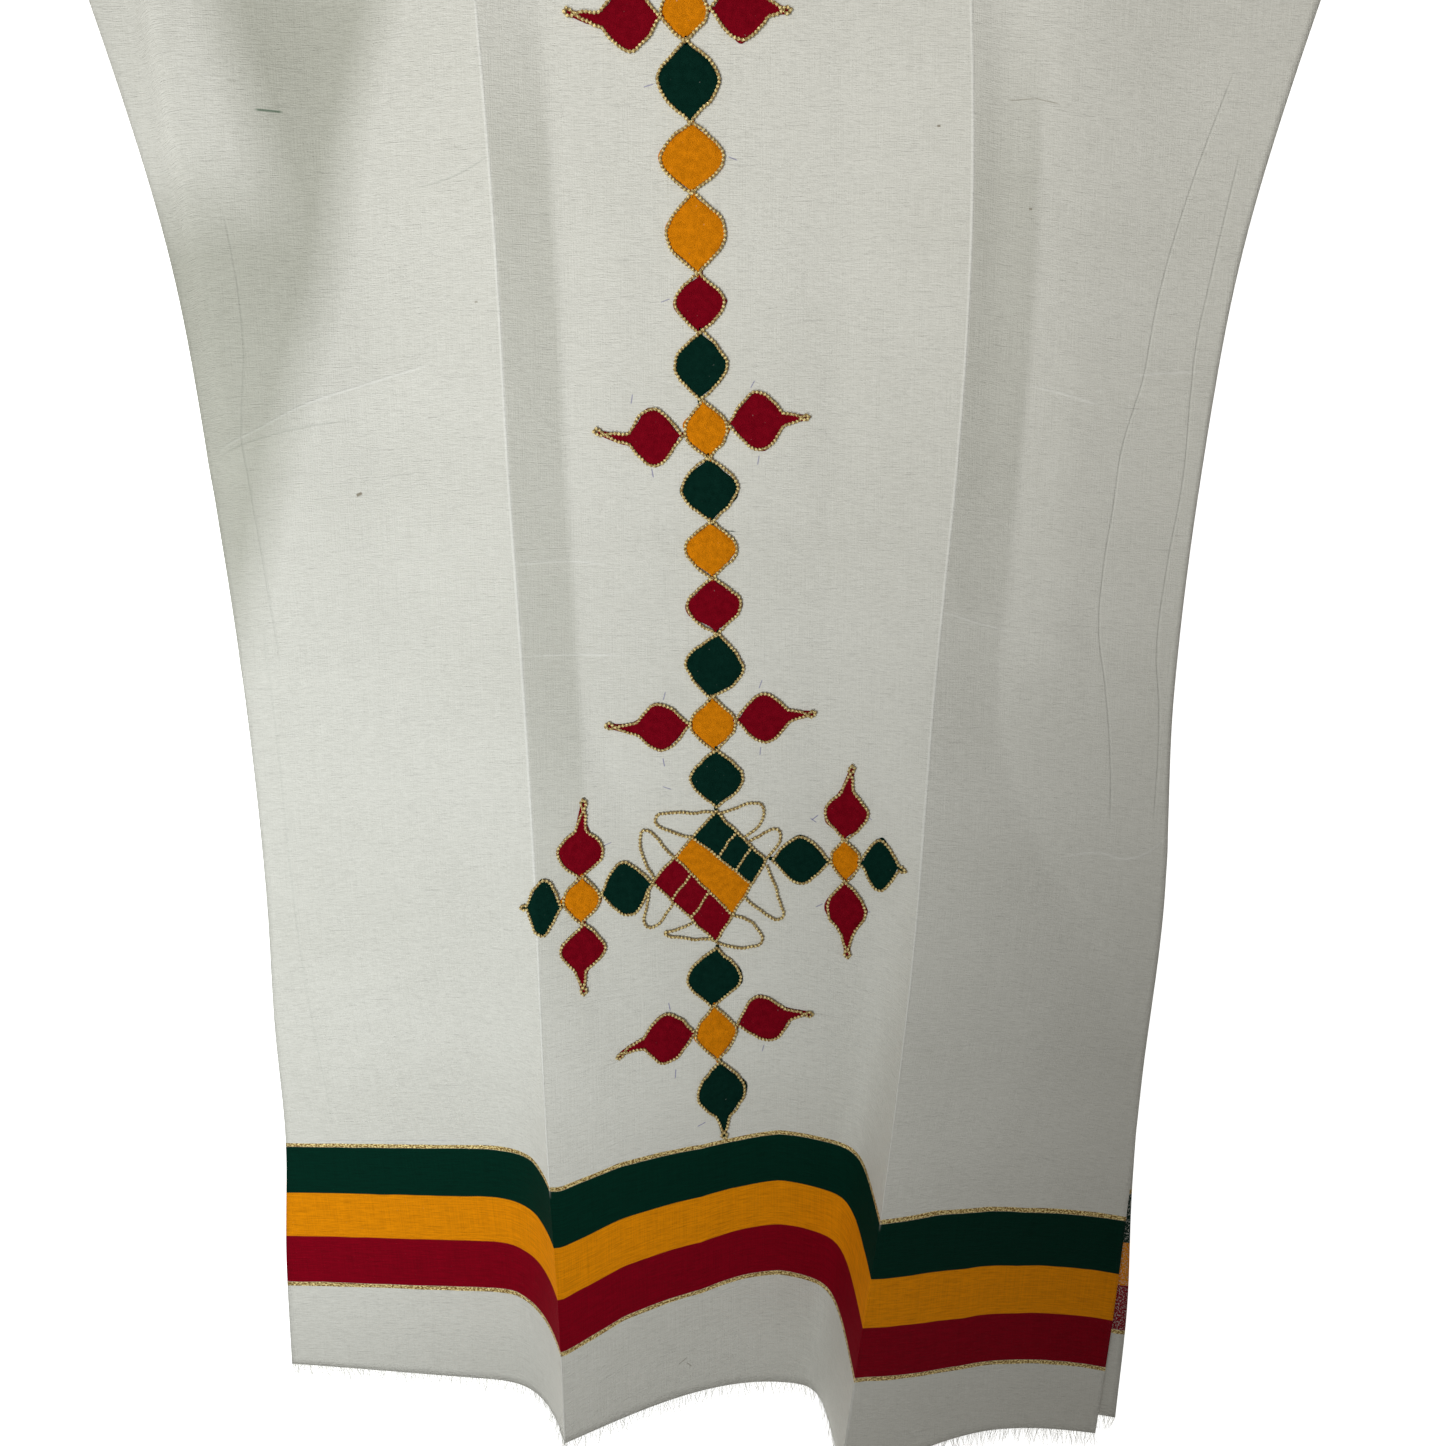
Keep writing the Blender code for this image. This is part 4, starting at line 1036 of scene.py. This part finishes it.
# Gold loops beside the big square: the side they stand on, their ends as shares of that side, then the points of the
# loop as shares along the side with their distances out from it
LOOPS = (
    # side's start, side's end, points (share along, distance out)
    ("top", "left", ((0.02, 0.000), (0.36, 0.027), (0.44, 0.029), (0.50, 0.024), (0.42, 0.006), (0.36, 0.000))),
    ("top", "right", ((0.06, 0.001), (0.24, 0.022), (0.36, 0.027), (0.50, 0.022), (0.56, 0.012), (0.56, 0.001))),
    ("right", "top", ((0.36, 0.001), (0.32, 0.013), (0.24, 0.022), (0.10, 0.019), (0.04, 0.010), (0.02, 0.000))),
    ("right", "bottom", ((0.04, 0.002), (0.18, 0.013), (0.38, 0.030), (0.48, 0.030), (0.50, 0.021), (0.44, 0.001))),
    ("bottom", "right", ((0.34, 0.001), (0.36, 0.014), (0.28, 0.026), (0.16, 0.027), (0.04, 0.014), (0.00, 0.001))),
    ("bottom", "left", ((0.34, 0.002), (0.42, 0.014), (0.48, 0.021), (0.36, 0.018), (0.10, 0.003), (0.02, 0.000))),
    ("left", "bottom", ((0.33, 0.001), (0.40, 0.018), (0.34, 0.026), (0.22, 0.021), (0.10, 0.010), (0.00, 0.000))),
    ("left", "top", ((0.02, 0.000), (0.18, 0.021), (0.34, 0.030), (0.40, 0.024), (0.36, 0.010), (0.34, 0.001))),
)


def loop_path(start, end, points):
    a, b = Vector(SQUARE[start]), Vector(SQUARE[end])
    middle = sum((Vector(corner) for corner in SQUARE.values()), Vector((0.0, 0.0))) / 4
    out = Vector((b.y - a.y, a.x - b.x)).normalized()
    if out.dot((a + b) / 2 - middle) < 0:
        out = -out
    return bent([tuple(a.lerp(b, share) + out * away) for share, away in points])


def square_cords():
    """The cord round the big square, along its bands and across two of them."""
    top, right, bottom, left = (Vector(SQUARE[corner]) for corner in ("top", "right", "bottom", "left"))
    paths = [[tuple(point) for point in (top, right, bottom, left, top)]]
    green_near, green_far = band_border(GREEN_ENDS)
    red_near, red_far = band_border(YELLOW_ENDS)
    paths += [[tuple(green_near), tuple(green_far)], [tuple(red_near), tuple(red_far)]]
    for share, red_share in ((0.42, 0.30), (0.72, 0.60)):
        green = (top.lerp(right, share), green_near.lerp(green_far, share))
        red = (red_near.lerp(red_far, red_share), left.lerp(bottom, red_share))
        paths += [[tuple(point) for point in green], [tuple(point) for point in red]]
    return paths


def make_felt(felt_paints):
    rng = np.random.default_rng(7)
    pieces = []
    cords = {"column": [], "cross": [], "arm": []}
    for name, colour, run, up, half_long, half_wide, turn, tail, tail_turn in LOZENGES:
        turned, bend = math.radians(turn), math.radians(tail_turn - turn)
        mesh = lozenge_felt(name, run, up, half_long, half_wide, turned, tail, bend, rng)
        pieces.append((name, colour, mesh))
        outline = cord_outline(half_long, half_wide, tail, bend)
        path = [in_place(run, up, turned, along, aside) for along, aside in outline]
        cords[name.split("_")[0]].append(path + path[:1])
    for name, colour, start, end in BANDS:
        pieces.append((name, colour, band_felt(name, *band_border(start), *band_border(end))))
    for name, colour, mesh in pieces:
        piece = finish_piece(name + "_felt", mesh, felt_paints[colour])
        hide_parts(name)
        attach(piece, "root")
    return cords


# Frayed edges
FRAY_STEP = 0.0006
FRAY_LENGTH = 0.013
FRAY_RADIUS = 0.00018
FRAY_BEND = 0.0035


def fray_growth(material):
    """Sets a thread on each point of a hem line, turned a little at random, and crinkles the threads' loose ends."""
    growth = Growth("frayed_edge", numbers=("Step", "Length", "Radius", "Bend"), others={"Seed": "NodeSocketInt"})
    line_curve = growth.node("GeometryNodeMeshToCurve", {}, {"Mesh": growth.given("Geometry")})
    points = growth.node("GeometryNodeCurveToPoints", {"mode": "LENGTH"},
                         {"Curve": line_curve, "Length": growth.given("Step")})
    thread = growth.node("GeometryNodeCurvePrimitiveLine", {}, {"Start": (0.0, 0.0, 0.0), "End": (0.0, -1.0, 0.0)})
    fine = growth.node("GeometryNodeResampleCurve", {"mode": "COUNT"}, {"Curve": thread, "Count": 7})
    ring = growth.node("GeometryNodeCurvePrimitiveCircle", {}, {"Resolution": 3, "Radius": 1.0})
    factor = growth.node("GeometryNodeSplineParameter", {}, {})
    slim = growth.node("ShaderNodeMapRange", {}, {0: factor, 1: 0.0, 2: 1.0, 3: 1.0, 4: 0.35})
    radius = growth.maths("MULTIPLY", slim, growth.given("Radius"))
    long = growth.node("ShaderNodeCombineXYZ", {}, {"X": 1.0, "Y": growth.given("Length"), "Z": 1.0})
    sized = growth.node("GeometryNodeTransform", {}, {"Geometry": fine, "Scale": long})
    tapered = growth.node("GeometryNodeSetCurveRadius", {}, {"Curve": sized, "Radius": radius})
    tube = growth.node("GeometryNodeCurveToMesh", {}, {"Curve": growth.marked(tapered, factor), "Profile Curve": ring,
                                                      "Scale": radius})
    turn = growth.node("FunctionNodeRandomValue", {"data_type": "FLOAT_VECTOR"},
                       {"Min": (-0.25, -0.6, -0.45), "Max": (0.12, 0.6, 0.45), "Seed": growth.given("Seed")})
    size = growth.node("FunctionNodeRandomValue", {"data_type": "FLOAT"},
                       {2: 0.55, 3: 1.1, "Seed": growth.given("Seed")}, out=1)
    laid = growth.node("GeometryNodeInstanceOnPoints", {}, {"Points": points, "Instance": tube, "Rotation": turn,
                                                            "Scale": size})
    plain = growth.node("GeometryNodeRealizeInstances", {}, {"Geometry": laid})
    loose = growth.node("GeometryNodeInputNamedAttribute", {"data_type": "FLOAT"}, {"Name": "along"})
    push = growth.node("ShaderNodeVectorMath", {"operation": "SCALE"},
                       {0: growth.crinkle(260.0), "Scale": growth.maths("MULTIPLY", loose, growth.given("Bend"))})
    crinkled = growth.node("GeometryNodeSetPosition", {}, {"Geometry": plain, "Offset": push})
    growth.close(crinkled, material)
    return growth


def fray(name, node, edge, growth, seed):
    """Frayed threads along a hem's edge, kept above the floor."""
    grown = growth.grow(line_piece(name, [edge]), {"Step": FRAY_STEP, "Length": FRAY_LENGTH, "Radius": FRAY_RADIUS,
                                                   "Bend": FRAY_BEND, "Seed": seed})
    for vertex in grown.data.vertices:
        vertex.co.z = max(vertex.co.z, FRAY_RADIUS)
    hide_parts(node)
    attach(grown, "root")
    return grown


cotton = cotton_paint("cotton_front", True, pressed=True)
cotton_back = cotton_paint("cotton_back", True, wrong_side=True)
cotton_plain = cotton_paint("cotton_plain", False)
thread = thread_paint()
front = front_cloth(cotton)
back = back_cloth(cotton_back)
sleeves = [sleeve_cloth("sleeve_cloth_left", -1, cotton_plain), sleeve_cloth("sleeve_cloth_right", 1, cotton_plain)]
for piece, node in ((front, "front_panel"), (back, "back_panel"), (sleeves[0], "sleeve_left"),
                    (sleeves[1], "sleeve_right")):
    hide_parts(node)
    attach(piece, "root")

frayed = fray_growth(thread)
front_edge = [front_place(column, 0.0)[0] - Vector((0.0, 0.0, CLOTH / 2)) for column in front_columns()]
back_edge = [back_place(2 * k / BACK_COLUMNS - 1, 0.0)[0] - Vector((0.0, 0.0, CLOTH / 2))
             for k in range(BACK_COLUMNS + 1)]
front_fray = fray("front_fray", "fringe_front", front_edge, frayed, 3)
back_fray = fray("back_fray", "fringe_back", back_edge, frayed, 8)

felt_cords = make_felt({name: felt_paint("felt_" + name, colour) for name, colour in FELT.items()})
gold_cord = cord_growth(gold_paint())
for part, paths in felt_cords.items():
    cord_piece("gold_cord_" + part, paths, gold_cord)
cord_piece("gold_cord_square", square_cords(), gold_cord)
cord_piece("gold_cord_loops", [loop_path(*loop) for loop in LOOPS], gold_cord)


# Floor, light and camera: the eye looks from EYE_AWAY at a point of the dress, tilted toward the hem
SENSOR = 36  # millimetres, the width that a new camera has
FOCAL_PIXELS = 1025
PHOTO_PIXELS = 1446
EYE_SHIFT = (-0.0114, -0.0204)
EYE_AWAY = 0.717
EYE_TILT = math.radians(10)
AIM_ACROSS, AIM_UP = 0.021, 0.541
FLOOR_HALF = 6.0
FLOOR_Z = -0.0004
FLOOR_WHITE = (0.93, 0.93, 0.93)
FLOOR_GLOW = 0.9
LAMPS = (
    # name, place, aim, half angle, softness, power, colour
    ("near_window", (-0.35, -0.30, 0.80), (-0.57, -0.18, 0.0), 1.22, 0.10, 21.5, (0.96, 1.0, 1.0)),
    ("far_window", (-0.83, 0.04, 1.89), (0.44, 0.89, 0.0), 0.55, 0.25, 114.0, (1.0, 0.99, 0.95)),
)
SKY = (1.0, 0.97, 0.91, 1.0)
SKY_STRENGTH = 0.26


def camera():
    data = bpy.data.cameras.new("camera")
    data.lens = SENSOR * FOCAL_PIXELS / PHOTO_PIXELS
    data.shift_x, data.shift_y = EYE_SHIFT
    eye = placed("camera", data)
    eye.location = (AIM_ACROSS, HEM_Y + AIM_UP + EYE_AWAY * math.sin(EYE_TILT), EYE_AWAY * math.cos(EYE_TILT))
    eye.rotation_euler = (-EYE_TILT, 0.0, 0.0)
    bpy.context.scene.camera = eye


def lamp(name, place, aim, half_angle, softness, power, colour):
    """A soft spot that fades from the middle of its beam to the rim."""
    data = bpy.data.lights.new(name, "SPOT")
    data.spot_size = 2 * half_angle
    data.spot_blend = 1.0
    data.shadow_soft_size = softness
    data.energy = power
    data.color = colour
    light = placed(name, data)
    light.location = place
    light.rotation_mode = "QUATERNION"
    light.rotation_quaternion = (Vector(aim) - Vector(place)).to_track_quat("-Z", "Y")


def floor():
    mesh = bpy.data.meshes.new("floor")
    corners = [(x * FLOOR_HALF, y * FLOOR_HALF, FLOOR_Z) for x, y in ((-1, -1), (1, -1), (1, 1), (-1, 1))]
    mesh.from_pydata(corners, [], [(0, 1, 2, 3)])
    paint = Paint("floor")
    white = paint.give(Base_Color=FLOOR_WHITE, Roughness=0.9, Emission_Color=FLOOR_WHITE, Emission_Strength=FLOOR_GLOW)
    ground = finish_piece("floor", mesh, white)


floor()
camera()
for window in LAMPS:
    lamp(*window)
world = bpy.data.worlds.new("room")
world.use_nodes = True
world.node_tree.nodes["Background"].inputs["Color"].default_value = SKY
world.node_tree.nodes["Background"].inputs["Strength"].default_value = SKY_STRENGTH
bpy.context.scene.world = world
bpy.context.scene.view_settings.view_transform = "Standard"
